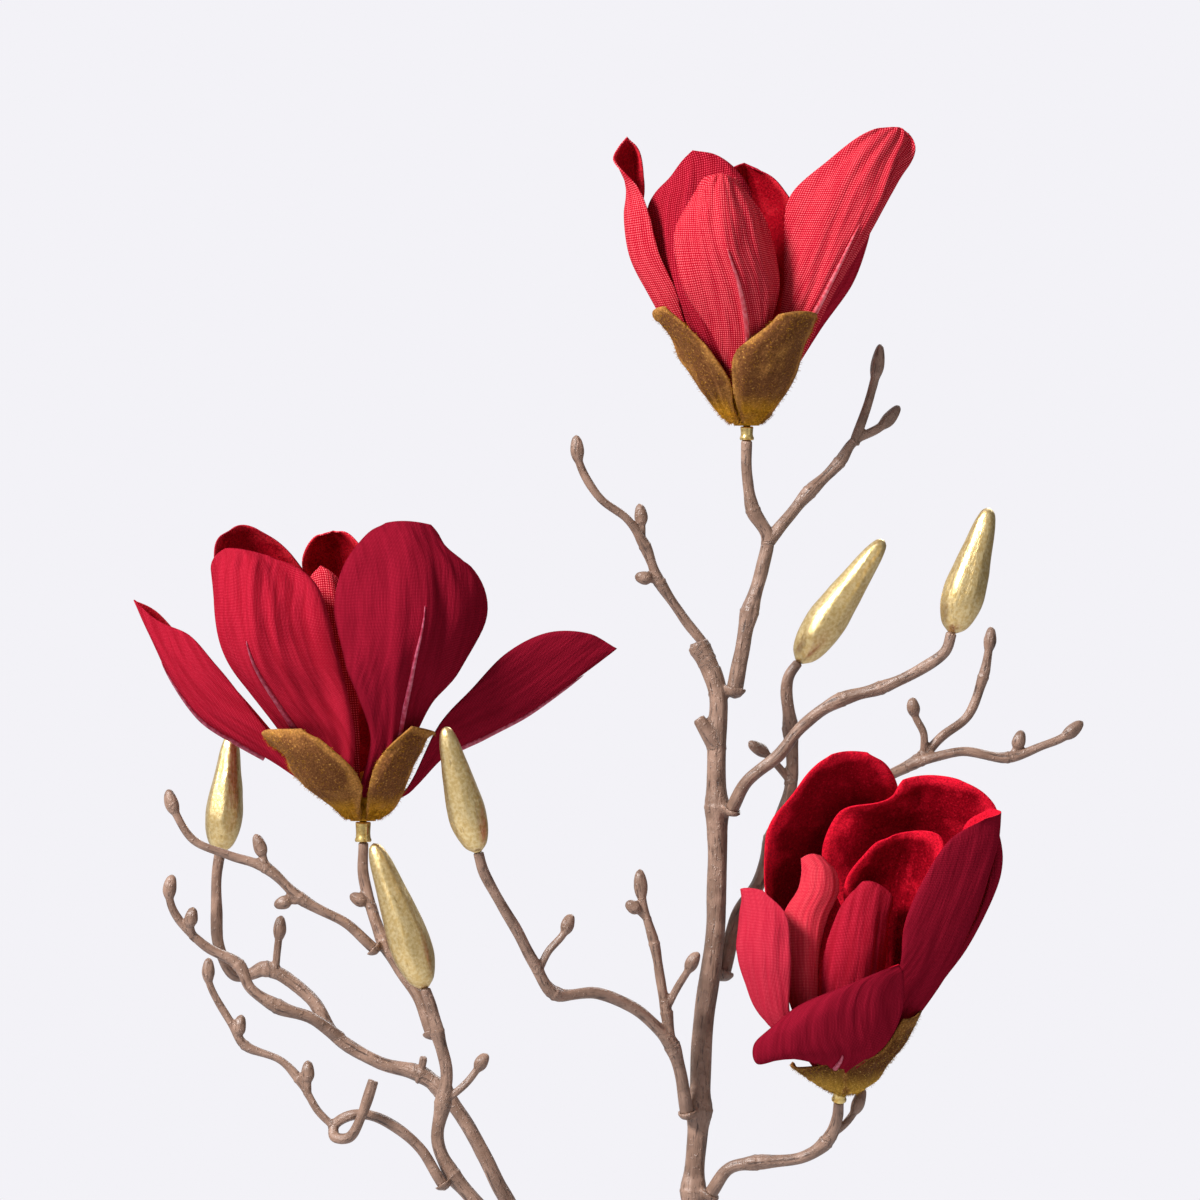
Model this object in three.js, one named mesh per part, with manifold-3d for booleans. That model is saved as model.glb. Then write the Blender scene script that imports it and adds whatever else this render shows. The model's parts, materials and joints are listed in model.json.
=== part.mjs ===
import * as THREE from "three";
import { mergeVertices } from "three/addons/utils/BufferGeometryUtils.js";
import Module from "manifold-3d";

// Artificial magnolia stem with three fabric blooms and five gilded buds.
// Millimetres. +Z is up, +X is to the viewer's right, and the viewer stands at -Y.
// The origin is the centre of the cut lower end. Branch routes are written in the crown's frame,
// whose origin is the lowest fork of the trunk, one shank length above the cut end.

const wasm = await Module();
wasm.setup();

// Fits
const CLEARANCE = 0.3;
const SEAT_WALL = 1.2;
const SEAT_LIP = 0.4;

// Trunk and branches
const SHANK_LENGTH = 360;
const TRUNK_RADIUS = 3.6;
const TRUNK_TOP_RADIUS = 3.2;
const LIMB_RADIUS = 2.7;
const BRANCH_RADIUS = 2.2;
const STALK_RADIUS = 1.8;
const TWIG_RADIUS = 1.3;
const WIRE_RADIUS = 1.4;
const WIRE_LENGTH = 340;
const NODE_SWELL = 0.3;
const NODE_LENGTH = 4;
const LEAF_BUD_SWELL = 1.1;
const LEAF_BUD_TIP = 0.3;
const LEAF_BUD_SHARES = [0.2, 0.45, 0.7, 0.88, 1];
const BALL_LATITUDES = [80, 50, 25];
const BALL_SIDES = 8;
const BALL_BANDS = 6;
const RING_STEP = 14;
const TRUNK_RING_STEP = 24;
const LIMB_SIDES = 7;
const TWIG_SIDES = 5;
const LATHE_SIDES = 10;

// Pegs that carry the gilded buds and the blooms
const PEG_RADIUS = 1;
const PEG_LENGTH = 4;
const PEG_ROOT = 1;
const BORE_OVERCUT = 1;

// Blooms
const PETAL_GRID = { thickness: 0.8, rowsPerSpan: 2, columns: 4 };
const SEPAL_GRID = { thickness: 0.9, rowsPerSpan: 1, columns: 4 };
const TIP_SHARE = 0.15;
const SKIN_STEP = 0.01;
const LAYER_STEP = 2;
const SEPAL_SEAT = 0.9;
const TOP_SEAT = 0.72;
const CORE_RADIUS = 5.6;
const CORE_HEIGHT = 17;
const CORE_FOOT = 0.3;
const SEAT_STEP = 2;
const SPIGOT_RADIUS = 1.2;
const SPIGOT_HEIGHT = 3;
const SOCKET_RIM = 0.3;

const BARK = { color: 0x7e6656, roughness: 0.55, metalness: 0 };
const STEEL = { color: 0x8c8c8a, roughness: 0.35, metalness: 1 };
const GILDING = { color: 0xc9a65a, roughness: 0.35, metalness: 0.9 };
const PETAL_CLOTH = { color: 0xb0122b, roughness: 0.8, metalness: 0 };
const SEPAL_VELVET = { color: 0x8a5a1c, roughness: 0.95, metalness: 0 };
const FOAM = { color: 0x9a7a3c, roughness: 0.9, metalness: 0 };

const UP = new THREE.Vector3(0, 0, 1);

/** A closed three.js geometry as a solid that can be joined and cut. */
function solidOf(geometry) {
  const bare = geometry.clone();
  bare.deleteAttribute("normal");
  bare.deleteAttribute("uv");
  const merged = mergeVertices(bare, 1e-4);
  const index = Array.from(merged.index.array);
  const triVerts = [];
  for (let i = 0; i < index.length; i += 3) {
    const [a, b, c] = index.slice(i, i + 3);
    if (a !== b && b !== c && c !== a) triVerts.push(a, b, c);
  }
  const vertProperties = merged.attributes.position.array;
  const mesh = new wasm.Mesh({ numProp: 3, vertProperties, triVerts: new Uint32Array(triVerts) });
  return new wasm.Manifold(mesh);
}

/** A solid as a three.js geometry. */
function geometryOf(solid) {
  const mesh = solid.getMesh();
  const geometry = new THREE.BufferGeometry();
  geometry.setAttribute("position", new THREE.BufferAttribute(new Float32Array(mesh.vertProperties), 3));
  geometry.setIndex(new THREE.BufferAttribute(new Uint32Array(mesh.triVerts), 1));
  geometry.computeVertexNormals();
  return geometry;
}

/** A named mesh with its own material. */
function piece(name, geometry, finish) {
  const mesh = new THREE.Mesh(geometry, new THREE.MeshStandardMaterial(finish));
  mesh.name = name;
  return mesh;
}

/** A solid turned about the vertical through [radius, height] points, from axis to axis. */
function turned(profile, sides) {
  const points = profile.map(([radius, height]) => new THREE.Vector2(radius, height));
  return new THREE.LatheGeometry(points, sides).rotateX(Math.PI / 2);
}

/** A ball round a point. */
function ball(centre, radius) {
  const geometry = new THREE.SphereGeometry(radius, BALL_SIDES, BALL_BANDS);
  return solidOf(geometry.translate(centre.x, centre.y, centre.z));
}

/** A rod of the given radius and length that starts at a point and runs along a direction. */
function rod(start, direction, radius, length, sides) {
  const turn = new THREE.Quaternion().setFromUnitVectors(new THREE.Vector3(0, 1, 0), direction);
  const middle = start.clone().addScaledVector(direction, length / 2);
  const geometry = new THREE.CylinderGeometry(radius, radius, length, sides);
  return solidOf(geometry.applyQuaternion(turn).translate(middle.x, middle.y, middle.z));
}

/** A closed tube through rings, each with a centre, a tangent and a radius. */
function tube(rings, sides) {
  const positions = [];
  const index = [];
  const across = new THREE.Vector3(0, 1, 0).projectOnPlane(rings[0].tangent);
  rings.forEach(({ centre, tangent, radius }) => {
    across.projectOnPlane(tangent).normalize();
    const beside = tangent.clone().cross(across);
    for (let j = 0; j < sides; j++) {
      const angle = (2 * Math.PI * j) / sides;
      const point = centre
        .clone()
        .addScaledVector(across, radius * Math.cos(angle))
        .addScaledVector(beside, radius * Math.sin(angle));
      positions.push(...point);
    }
  });
  const last = rings.length - 1;
  const startPole = rings.length * sides;
  const endPole = startPole + 1;
  positions.push(...rings[0].centre, ...rings[last].centre);
  for (let j = 0; j < sides; j++) {
    const next = (j + 1) % sides;
    for (let i = 0; i < last; i++) {
      const low = i * sides;
      const high = low + sides;
      index.push(low + j, low + next, high + j, low + next, high + next, high + j);
    }
    index.push(startPole, next, j, endPole, last * sides + j, last * sides + next);
  }
  const geometry = new THREE.BufferGeometry();
  geometry.setAttribute("position", new THREE.Float32BufferAttribute(positions, 3));
  geometry.setIndex(index);
  return geometry;
}

/**
 * One tapered, knobbly stem along a route. Its tip is "cut", "bud" (the last stretch of the route
 * swells into a small leaf bud) or "peg" (it ends in a peg for a gilded bud or a bloom).
 */
class Stem {
  constructor({ route, from, to, nodes = [], tip = "bud", sides = TWIG_SIDES, ringStep = RING_STEP }) {
    this.points = route.map((point) => new THREE.Vector3(...point));
    this.spans = this.points.length - 1;
    this.curve = new THREE.CatmullRomCurve3(this.points, false, "centripetal");
    this.from = from;
    this.to = to;
    this.nodes = nodes.map((knot) => this.points[knot]);
    this.tip = tip;
    this.sides = sides;
    this.ringStep = ringStep;
  }

  get end() {
    return this.points[this.spans];
  }

  get endDirection() {
    return this.curve.getTangent(1);
  }

  radiusAt(share) {
    const point = this.curve.getPoint(share);
    const swell = this.nodes.map((node) => Math.exp(-((point.distanceTo(node) / NODE_LENGTH) ** 2)));
    return THREE.MathUtils.lerp(this.from, this.to, share) * (1 + NODE_SWELL * Math.max(0, ...swell));
  }

  ringAt(share) {
    const centre = this.curve.getPoint(share);
    const tangent = this.curve.getTangent(share);
    return { centre, tangent, radius: this.radiusAt(share) };
  }

  /** The rings of the round end that sits in a ball seat. */
  ballRings() {
    const tangent = this.curve.getTangent(0);
    return BALL_LATITUDES.map((degrees) => {
      const angle = THREE.MathUtils.degToRad(degrees);
      const centre = this.points[0].clone().addScaledVector(tangent, -this.from * Math.sin(angle));
      return { centre, tangent, radius: this.from * Math.cos(angle) };
    });
  }

  leafBudRings() {
    const foot = (this.spans - 1) / this.spans;
    return LEAF_BUD_SHARES.map((share) => {
      const ring = this.ringAt(foot + share / this.spans);
      const swollen = this.to * (1 + LEAF_BUD_SWELL * Math.sin(Math.PI * share));
      ring.radius = swollen * (1 - share ** 3) + LEAF_BUD_TIP;
      return ring;
    });
  }

  geometry(startsRound) {
    const rings = startsRound ? this.ballRings() : [];
    rings.push(this.ringAt(0));
    const woody = this.tip === "bud" ? this.spans - 1 : this.spans;
    for (let k = 0; k < woody; k++) {
      const span = this.points[k].distanceTo(this.points[k + 1]);
      const steps = Math.max(1, Math.round(span / this.ringStep));
      for (let j = 1; j <= steps; j++) rings.push(this.ringAt((k + j / steps) / this.spans));
    }
    if (this.tip === "bud") rings.push(...this.leafBudRings());
    return tube(rings, this.sides);
  }
}

/** One moulding: a main stem with side twigs, a round lower end, and ball seats for what plugs in. */
class Moulding {
  constructor(name, main, twigs = [], parent = null, knot = 0) {
    this.name = name;
    this.main = new Stem(main);
    this.twigs = twigs.map((twig) => new Stem(twig));
    this.seats = [];
    this.parent = parent;
    if (parent) this.plugInto(parent, knot);
  }

  /** Moves the start of the main stem to its ball seat on the side of the parent's stem. */
  plugInto(parent, knot) {
    const share = knot / parent.main.spans;
    const centre = parent.main.points[knot];
    const side = this.main.points[1].clone().sub(centre);
    side.projectOnPlane(parent.main.curve.getTangent(share)).normalize();
    const reach = parent.main.radiusAt(share) + CLEARANCE + this.main.from;
    const [foot] = this.main.points;
    foot.copy(centre).addScaledVector(side, reach);
    parent.seats.push({ centre: foot, direction: this.main.curve.getTangent(0), radius: this.main.from });
  }

  solid() {
    let made = solidOf(this.main.geometry(this.parent !== null));
    for (const twig of this.twigs) made = made.add(solidOf(twig.geometry(false)));
    if (this.main.tip === "peg") made = made.add(this.peg(this.main));
    for (const seat of this.seats) made = made.add(this.collar(seat));
    for (const seat of this.seats) made = made.subtract(ball(seat.centre, seat.radius + CLEARANCE));
    return made;
  }

  peg(stem) {
    const start = stem.end.clone().addScaledVector(stem.endDirection, -PEG_ROOT);
    return rod(start, stem.endDirection, PEG_RADIUS, PEG_ROOT + PEG_LENGTH, TWIG_SIDES);
  }

  /** A knuckle round a ball seat, open on the side that the branch leaves by. */
  collar({ centre, direction, radius }) {
    const lip = centre.clone().addScaledVector(direction, -SEAT_LIP);
    const mouth = rod(lip, direction, radius + 2 * SEAT_WALL, 2 * (radius + SEAT_WALL), LIMB_SIDES);
    return ball(centre, radius + SEAT_WALL).subtract(mouth);
  }

  mesh() {
    return piece(this.name, geometryOf(this.solid()), BARK);
  }
}

/** A gilded bud on the peg of a stem: a drop with a blunt tip that bends a little, bored for the peg. */
function gildedBud(name, stem, length, width, bend) {
  const outline = [
    [0.2, 0],
    [0.58, 0.05],
    [0.88, 0.16],
    [1, 0.3],
    [0.88, 0.5],
    [0.66, 0.72],
    [0.47, 0.9],
    [0.26, 0.98],
  ];
  const profile = outline.map(([radius, height]) => [(radius * width) / 2, height * length]);
  const drop = turned([[0, 0], ...profile, [0, length]], LATHE_SIDES);
  const position = drop.attributes.position;
  for (let i = 0; i < position.count; i++) {
    const height = position.getZ(i) / length;
    position.setX(i, position.getX(i) + bend * height * height);
  }
  const below = new THREE.Vector3(0, 0, -BORE_OVERCUT);
  const depth = PEG_LENGTH + CLEARANCE;
  const bore = rod(below, UP, PEG_RADIUS + CLEARANCE, BORE_OVERCUT + depth, LIMB_SIDES);
  const mesh = piece(name, geometryOf(solidOf(drop).subtract(bore)), GILDING);
  seatOnEnd(mesh, stem, CLEARANCE);
  return mesh;
}

/** Puts an object's foot on the end of a stem, with its +Z along the stem. */
function seatOnEnd(object, stem, gap) {
  object.position.copy(stem.end).addScaledVector(stem.endDirection, gap);
  object.quaternion.setFromUnitVectors(UP, stem.endDirection);
}

/** The gilded socket between a stem's peg and a bloom's core, bored below and with a spigot above. */
function socket(name, height, radius) {
  const bore = PEG_RADIUS + CLEARANCE;
  const depth = Math.min(PEG_LENGTH + CLEARANCE, height - SOCKET_RIM);
  const profile = [
    [0, depth],
    [bore, depth],
    [bore, 0],
    [radius + SOCKET_RIM, 0],
    [radius + SOCKET_RIM, 1],
    [radius, 1 + SOCKET_RIM],
    [radius - SOCKET_RIM, height],
    [SPIGOT_RADIUS, height],
    [SPIGOT_RADIUS, height + SPIGOT_HEIGHT],
    [0, height + SPIGOT_HEIGHT],
  ];
  return piece(name, turned(profile, LATHE_SIDES), GILDING);
}

const CORE_PROFILE = [
  [0.75, CORE_FOOT],
  [1, 0.3 * CORE_HEIGHT],
  [0.9, 0.7 * CORE_HEIGHT],
  [0.5, 0.93 * CORE_HEIGHT],
];

/** The core's radius at a height above its socket. */
function coreRadius(height) {
  const k = CORE_PROFILE.findIndex(([, z]) => z >= height);
  const [[low, below], [high, above]] = [CORE_PROFILE[k - 1], CORE_PROFILE[k]];
  return CORE_RADIUS * THREE.MathUtils.mapLinear(height, below, above, low, high);
}

/** The foam core that the petals are glued round, bored for the socket's spigot. */
function core(name) {
  const bore = SPIGOT_RADIUS + CLEARANCE;
  const ceiling = SPIGOT_HEIGHT + CLEARANCE;
  const inside = [
    [0, ceiling],
    [bore, ceiling],
    [bore, CORE_FOOT],
  ];
  const outside = CORE_PROFILE.map(([share, height]) => [CORE_RADIUS * share, height]);
  return piece(name, turned([...inside, ...outside, [0, CORE_HEIGHT]], LATHE_SIDES), FOAM);
}

/** One edge, the middle and the other edge of a leaf where it lies on a circle round the bloom's axis. */
function roundStation(radius, height, azimuth, spread, turn) {
  return [-1, 0, 1].map((side) => {
    const angle = THREE.MathUtils.degToRad(azimuth + side * spread);
    const point = new THREE.Vector3(radius * Math.cos(angle), radius * Math.sin(angle), height);
    return point.applyQuaternion(turn);
  });
}

/** A leaf's outer skin: curves through the stations' first edges, their spines and their other edges. */
class Skin {
  constructor(stations) {
    this.curves = [0, 1, 2].map((k) => {
      const points = stations.map((station) => station[k]);
      return new THREE.CatmullRomCurve3(points, false, "centripetal");
    });
  }

  /** The point at a share of the length and a place across it from -1 to 1. */
  point(share, side) {
    const [first, spine, last] = this.curves.map((curve) => curve.getPoint(share));
    return first
      .multiplyScalar((side * (side - 1)) / 2)
      .addScaledVector(spine, 1 - side * side)
      .addScaledVector(last, (side * (side + 1)) / 2);
  }

  /** The normal that points away from the bloom's axis near the seat. */
  normal(share, side) {
    const low = Math.max(0, share - SKIN_STEP);
    const high = Math.min(1, share + SKIN_STEP);
    const up = this.point(high, side).sub(this.point(low, side));
    const across = this.point(share, side + SKIN_STEP).sub(this.point(share, side - SKIN_STEP));
    return across.cross(up).normalize();
  }
}

/**
 * A petal or sepal: a wall of cloth laid inside a skin. The stations run from the seat on the core
 * to the tip, each from the edge at the lower azimuth over the spine to the other edge, and a
 * last station of one point is a pointed tip.
 */
function leafGeometry(stations, { thickness, rowsPerSpan, columns }) {
  const last = stations.length - 1;
  if (stations[last].length === 1) {
    const [tip] = stations[last];
    const [, spine] = stations[last - 1];
    const aside = (point) => point.clone().sub(spine).multiplyScalar(TIP_SHARE);
    stations[last] = stations[last - 1].map((point) => tip.clone().add(aside(point)));
  }
  const skin = new Skin(stations);
  const rows = last * rowsPerSpan;
  const walls = [[], []];
  for (let i = 0; i <= rows; i++) {
    for (let j = 0; j <= columns; j++) {
      const side = (2 * j) / columns - 1;
      const outside = skin.point(i / rows, side);
      const inside = outside.clone().addScaledVector(skin.normal(i / rows, side), -thickness);
      walls[0].push(...inside);
      walls[1].push(...outside);
    }
  }
  return closedLeaf(walls, rows, columns);
}

/** Joins an inner and an outer grid of points into one closed leaf. */
function closedLeaf([inner, outer], rows, columns) {
  const shift = inner.length / 3;
  const at = (i, j) => i * (columns + 1) + j;
  const index = [];
  for (let i = 0; i < rows; i++) {
    for (let j = 0; j < columns; j++) {
      const [a, b, c, d] = [at(i, j), at(i, j + 1), at(i + 1, j), at(i + 1, j + 1)];
      index.push(a, c, b, b, c, d);
      index.push(a + shift, b + shift, c + shift, b + shift, d + shift, c + shift);
    }
  }
  const rim = [];
  for (let j = 0; j < columns; j++) rim.push(at(0, j));
  for (let i = 0; i < rows; i++) rim.push(at(i, columns));
  for (let j = columns; j > 0; j--) rim.push(at(rows, j));
  for (let i = rows; i > 0; i--) rim.push(at(i, 0));
  rim.forEach((p, k) => {
    const q = rim[(k + 1) % rim.length];
    index.push(q + shift, p + shift, p, q + shift, p, q);
  });
  const geometry = new THREE.BufferGeometry();
  geometry.setAttribute("position", new THREE.Float32BufferAttribute([...inner, ...outer], 3));
  geometry.setIndex(index);
  geometry.computeVertexNormals();
  return geometry;
}

/**
 * A bloom, its axes along the part's own: its core with petals and sepals glued on in layers, 0 being
 * the innermost. Each leaf runs from its seat on the core through the throat, or for a sepal round
 * the calyx, to its free stations.
 */
function bloomGroup(name, { throat, calyx, petals, sepals }, turn) {
  const group = new THREE.Group();
  const heart = core(name + "_core");
  heart.quaternion.copy(turn);
  group.add(heart);
  const add = (leaf, kind, finish, grid, seatHeight, neck) => {
    const { azimuth, spread, free } = leaf;
    const seatRadius = coreRadius(seatHeight) + grid.thickness + CLEARANCE;
    const seat = roundStation(seatRadius, seatHeight, azimuth, spread, turn);
    const lower = roundStation(neck.radius, neck.height, azimuth, spread, turn);
    const upper = free.map((station) => station.map((point) => new THREE.Vector3(...point)));
    const geometry = leafGeometry([seat, lower, ...upper], grid);
    group.add(piece(`${name}_${kind}_${leaf.name}`, geometry, finish));
  };
  for (const petal of petals) {
    const seatHeight = TOP_SEAT * CORE_HEIGHT - petal.layer * SEAT_STEP;
    const neck = { radius: throat.radius + petal.layer * LAYER_STEP, height: throat.height, ...petal.neck };
    add(petal, "petal", PETAL_CLOTH, PETAL_GRID, seatHeight, neck);
  }
  for (const sepal of sepals) add(sepal, "sepal", SEPAL_VELVET, SEPAL_GRID, SEPAL_SEAT, calyx);
  return group;
}

// The trunk, from the cut end to the snapped-off stub at its top
const trunk = new Moulding(
  "trunk",
  {
    route: [
      [0, 0, -SHANK_LENGTH],
      [0, 0, -SHANK_LENGTH / 2],
      [0, 0, 0],
      [0, 0, 50],
      [0, 0, 106],
      [2, 0, 133],
      [3, 0, 158],
      [6, 0, 180],
      [8, 0, 200],
      [8, 0, 234],
      [8, 0, 256],
      [8, 1, 273],
      [2, 2, 289],
    ],
    from: TRUNK_RADIUS,
    to: TRUNK_TOP_RADIUS,
    nodes: [2, 4, 5, 9],
    tip: "cut",
    sides: LIMB_SIDES,
    ringStep: TRUNK_RING_STEP,
  },
  [{
    route: [[8, 0, 257], [4, -1, 260], [2, -1, 264]],
    from: STALK_RADIUS,
    to: STALK_RADIUS,
    tip: "cut",
  }],
);

const topSpray = new Moulding(
  "top_spray",
  {
    route: [
      [14, 1, 273],
      [17, 1, 290],
      [19, 2, 299],
      [23, 3, 313],
      [25, 3, 324],
      [20, 3, 333],
      [18, 3, 345],
      [18, 3, 356],
    ],
    from: LIMB_RADIUS,
    to: STALK_RADIUS,
    nodes: [2, 5],
    tip: "peg",
    sides: LIMB_SIDES,
  },
  [
    {
      route: [
        [25, 3, 322],
        [32, 5, 331],
        [39, 7, 339],
        [49, 9, 349],
        [54, 10, 356],
        [63, 11, 361],
        [70, 12, 369],
      ],
      from: BRANCH_RADIUS,
      to: TWIG_RADIUS,
      nodes: [2, 3],
    },
    {
      route: [[54, 10, 355], [57, 10, 364], [61, 11, 377], [63, 11, 390]],
      from: STALK_RADIUS,
      to: TWIG_RADIUS,
    },
  ],
  trunk,
  11,
);

const upperLeftTwig = new Moulding(
  "upper_left_twig",
  {
    route: [
      [8, 7, 273],
      [5, 9, 286],
      [-3, 9, 297],
      [-11, 6, 309],
      [-16, 4, 321],
      [-22, 2, 330],
      [-31, 0, 337],
      [-38, -1, 349],
      [-39, -1, 359],
    ],
    from: STALK_RADIUS,
    to: TWIG_RADIUS,
    nodes: [3, 4],
  },
  [
    { route: [[-17, 4, 323], [-17, 4, 328], [-18, 4, 336]], from: TWIG_RADIUS, to: TWIG_RADIUS },
    { route: [[-11, 6, 309], [-14, 5, 310], [-20, 4, 311]], from: TWIG_RADIUS, to: TWIG_RADIUS },
  ],
  trunk,
  11,
);

const rightBranch = new Moulding(
  "right_branch",
  {
    route: [
      [12, -4, 234],
      [18, -8, 243],
      [28, -11, 251],
      [36, -13, 261],
      [49, -17, 270],
      [62, -20, 274],
      [75, -24, 280],
      [83, -27, 286],
      [85, -27, 292],
    ],
    from: BRANCH_RADIUS,
    to: STALK_RADIUS,
    nodes: [4, 5],
    tip: "peg",
  },
  [],
  trunk,
  9,
);

const rearBranch = new Moulding(
  "rear_branch",
  {
    route: [
      [10, 5, 180],
      [15, 8, 197],
      [22, 12, 208],
      [27, 17, 223],
      [33, 19, 241],
      [33, 20, 260],
      [31.5, 20, 272],
      [32.5, 20, 277.5],
      [35.5, 20, 282],
    ],
    from: LIMB_RADIUS,
    to: STALK_RADIUS,
    nodes: [3, 5],
    tip: "peg",
    sides: LIMB_SIDES,
  },
  [
    {
      route: [[33, 19, 242], [29, 18, 247], [25, 17, 251], [18, 16, 256]],
      from: TWIG_RADIUS,
      to: TWIG_RADIUS,
    },
    {
      route: [
        [27, 17, 222],
        [42, 22, 230],
        [56, 26, 236],
        [65, 28, 243],
        [76, 30, 249],
        [84, 31, 257],
        [93, 32, 264],
        [98, 32, 277],
        [100, 32, 286],
        [101, 32, 295],
      ],
      from: BRANCH_RADIUS,
      to: TWIG_RADIUS,
      nodes: [4, 7],
    },
    {
      route: [
        [73, 29, 247],
        [81, 28, 250],
        [91, 27, 252],
        [106, 26, 250],
        [118, 25, 254],
        [125, 25, 257],
        [132, 25, 263],
      ],
      from: STALK_RADIUS,
      to: TWIG_RADIUS,
      nodes: [3],
    },
    { route: [[107, 26, 250], [109, 26, 253], [111, 26, 260]], from: TWIG_RADIUS, to: TWIG_RADIUS },
    {
      route: [[78, 30, 251], [78, 29, 258], [75, 29, 264], [74, 28, 271]],
      from: TWIG_RADIUS,
      to: TWIG_RADIUS,
    },
  ],
  trunk,
  7,
);

const rightBloomBranch = new Moulding(
  "right_bloom_branch",
  {
    route: [
      [5, -3, 108],
      [12, -6, 114],
      [21, -9, 116],
      [36, -13, 118],
      [44, -15, 123],
      [47.5, -19, 131],
      [48, -22, 137],
    ],
    from: BRANCH_RADIUS,
    to: STALK_RADIUS,
    nodes: [2, 4],
    tip: "peg",
  },
  [{
    route: [[45, -16, 125], [50, -16, 129], [53, -16, 133], [57, -15, 142]],
    from: TWIG_RADIUS,
    to: TWIG_RADIUS,
  }],
  trunk,
  4,
);

const midLeftBranch = new Moulding(
  "mid_left_branch",
  {
    route: [
      [-1, -4, 133],
      [-4, -9, 144],
      [-7, -12, 155],
      [-13, -15, 162],
      [-20, -18, 168],
      [-32, -23, 173],
      [-46, -28, 173],
      [-53, -32, 184],
      [-60, -37, 197],
      [-69, -42, 213],
      [-71, -43, 220],
    ],
    from: BRANCH_RADIUS,
    to: STALK_RADIUS,
    nodes: [2, 6],
    tip: "peg",
  },
  [
    {
      route: [
        [-7, -12, 154],
        [-9, -13, 166],
        [-11, -14, 178],
        [-13, -15, 189],
        [-17, -16, 204],
        [-18, -16, 215],
      ],
      from: STALK_RADIUS,
      to: TWIG_RADIUS,
      nodes: [1, 3],
    },
    { route: [[-15, -15, 197], [-18, -16, 200], [-23, -17, 203]], from: TWIG_RADIUS, to: TWIG_RADIUS },
    {
      route: [[-9, -13, 167], [-5, -14, 175], [-2, -15, 180], [2, -16, 187]],
      from: TWIG_RADIUS,
      to: TWIG_RADIUS,
    },
    {
      route: [[-51, -31, 181], [-48, -30, 187], [-43, -29, 193], [-40, -28, 200]],
      from: TWIG_RADIUS,
      to: TWIG_RADIUS,
    },
  ],
  trunk,
  5,
);

const leftLimb = new Moulding(
  "left_limb",
  {
    route: [
      [-5, 0, 4],
      [-13, 0, 18],
      [-28, 0, 42],
      [-43, 0, 66],
      [-50, 0, 78],
    ],
    from: LIMB_RADIUS,
    to: LIMB_RADIUS,
    nodes: [3],
    tip: "cut",
    sides: LIMB_SIDES,
  },
  [],
  trunk,
  2,
);

const leftRearStem = new Moulding(
  "left_rear_stem",
  {
    route: [
      [-44, 6, 66],
      [-51, 9, 82],
      [-63, 11, 104],
      [-76, 13, 128],
      [-84, 14, 139],
      [-91, 15, 144],
      [-105, 17, 148],
      [-120, 19, 157],
      [-128, 22, 169],
      [-143, 25, 179],
      [-149, 26, 177],
      [-154, 26, 177],
      [-159, 27, 186],
      [-160, 28, 198],
      [-160, 28, 210],
      [-159, 28, 218],
    ],
    from: LIMB_RADIUS,
    to: STALK_RADIUS,
    nodes: [4, 5, 9],
    tip: "peg",
    sides: LIMB_SIDES,
  },
  [
    { route: [[-91, 15, 144], [-90, 12, 150]], from: TWIG_RADIUS, to: TWIG_RADIUS, tip: "cut" },
    {
      route: [
        [-118, 19, 156],
        [-128, 15, 163],
        [-139, 13, 167],
        [-148, 13, 173],
        [-152, 14, 181],
        [-163, 14, 187],
        [-172, 13, 196],
        [-175, 12, 203],
        [-174, 12, 212],
      ],
      from: BRANCH_RADIUS,
      to: TWIG_RADIUS,
      nodes: [2, 4],
    },
    { route: [[-167, 14, 190], [-168, 12, 194], [-167, 11, 201]], from: TWIG_RADIUS, to: TWIG_RADIUS },
    { route: [[-140, 24, 178], [-139, 23, 189], [-138, 23, 198]], from: TWIG_RADIUS, to: TWIG_RADIUS },
  ],
  leftLimb,
  3,
);

const leftFrontStem = new Moulding(
  "left_front_stem",
  {
    route: [
      [-43, -6, 66],
      [-55, -9, 84],
      [-73, -10, 104],
      [-80, -10, 112],
      [-85, -10, 123],
      [-83, -11, 136],
      [-82, -12, 146],
      [-85, -14, 160],
      [-87, -15, 168],
      [-89, -15, 174],
    ],
    from: LIMB_RADIUS,
    to: STALK_RADIUS,
    nodes: [3, 5, 7],
    tip: "peg",
    sides: LIMB_SIDES,
  },
  [{
    route: [[-83, -11, 136], [-76, -12, 142], [-72, -12, 147], [-68, -12, 153]],
    from: TWIG_RADIUS,
    to: TWIG_RADIUS,
  }],
  leftLimb,
  3,
);

const curledTwig = new Moulding(
  "curled_twig",
  {
    route: [
      [-84, -11, 115],
      [-90, -13, 120],
      [-97, -14, 127],
      [-107, -15, 132],
      [-114, -15, 132],
      [-119, -14, 129],
      [-119, -16, 125],
      [-114, -19, 125],
      [-110, -20.5, 132],
      [-106, -21, 144],
    ],
    from: STALK_RADIUS,
    to: STALK_RADIUS,
    tip: "cut",
  },
  [
    {
      route: [
        [-119, -14, 128],
        [-125, -13, 134],
        [-131, -11, 144],
        [-137, -10, 150],
        [-149, -8, 155],
        [-154, -8, 163],
        [-161, -8, 176],
        [-161, -8, 185],
      ],
      from: TWIG_RADIUS,
      to: TWIG_RADIUS,
      nodes: [2, 4],
    },
    { route: [[-149, -8, 155], [-151, -8, 158], [-150, -8, 166]], from: TWIG_RADIUS, to: TWIG_RADIUS },
    { route: [[-128, -12, 139], [-128, -12, 143], [-128, -12, 151]], from: TWIG_RADIUS, to: TWIG_RADIUS },
  ],
  leftFrontStem,
  3,
);

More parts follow.
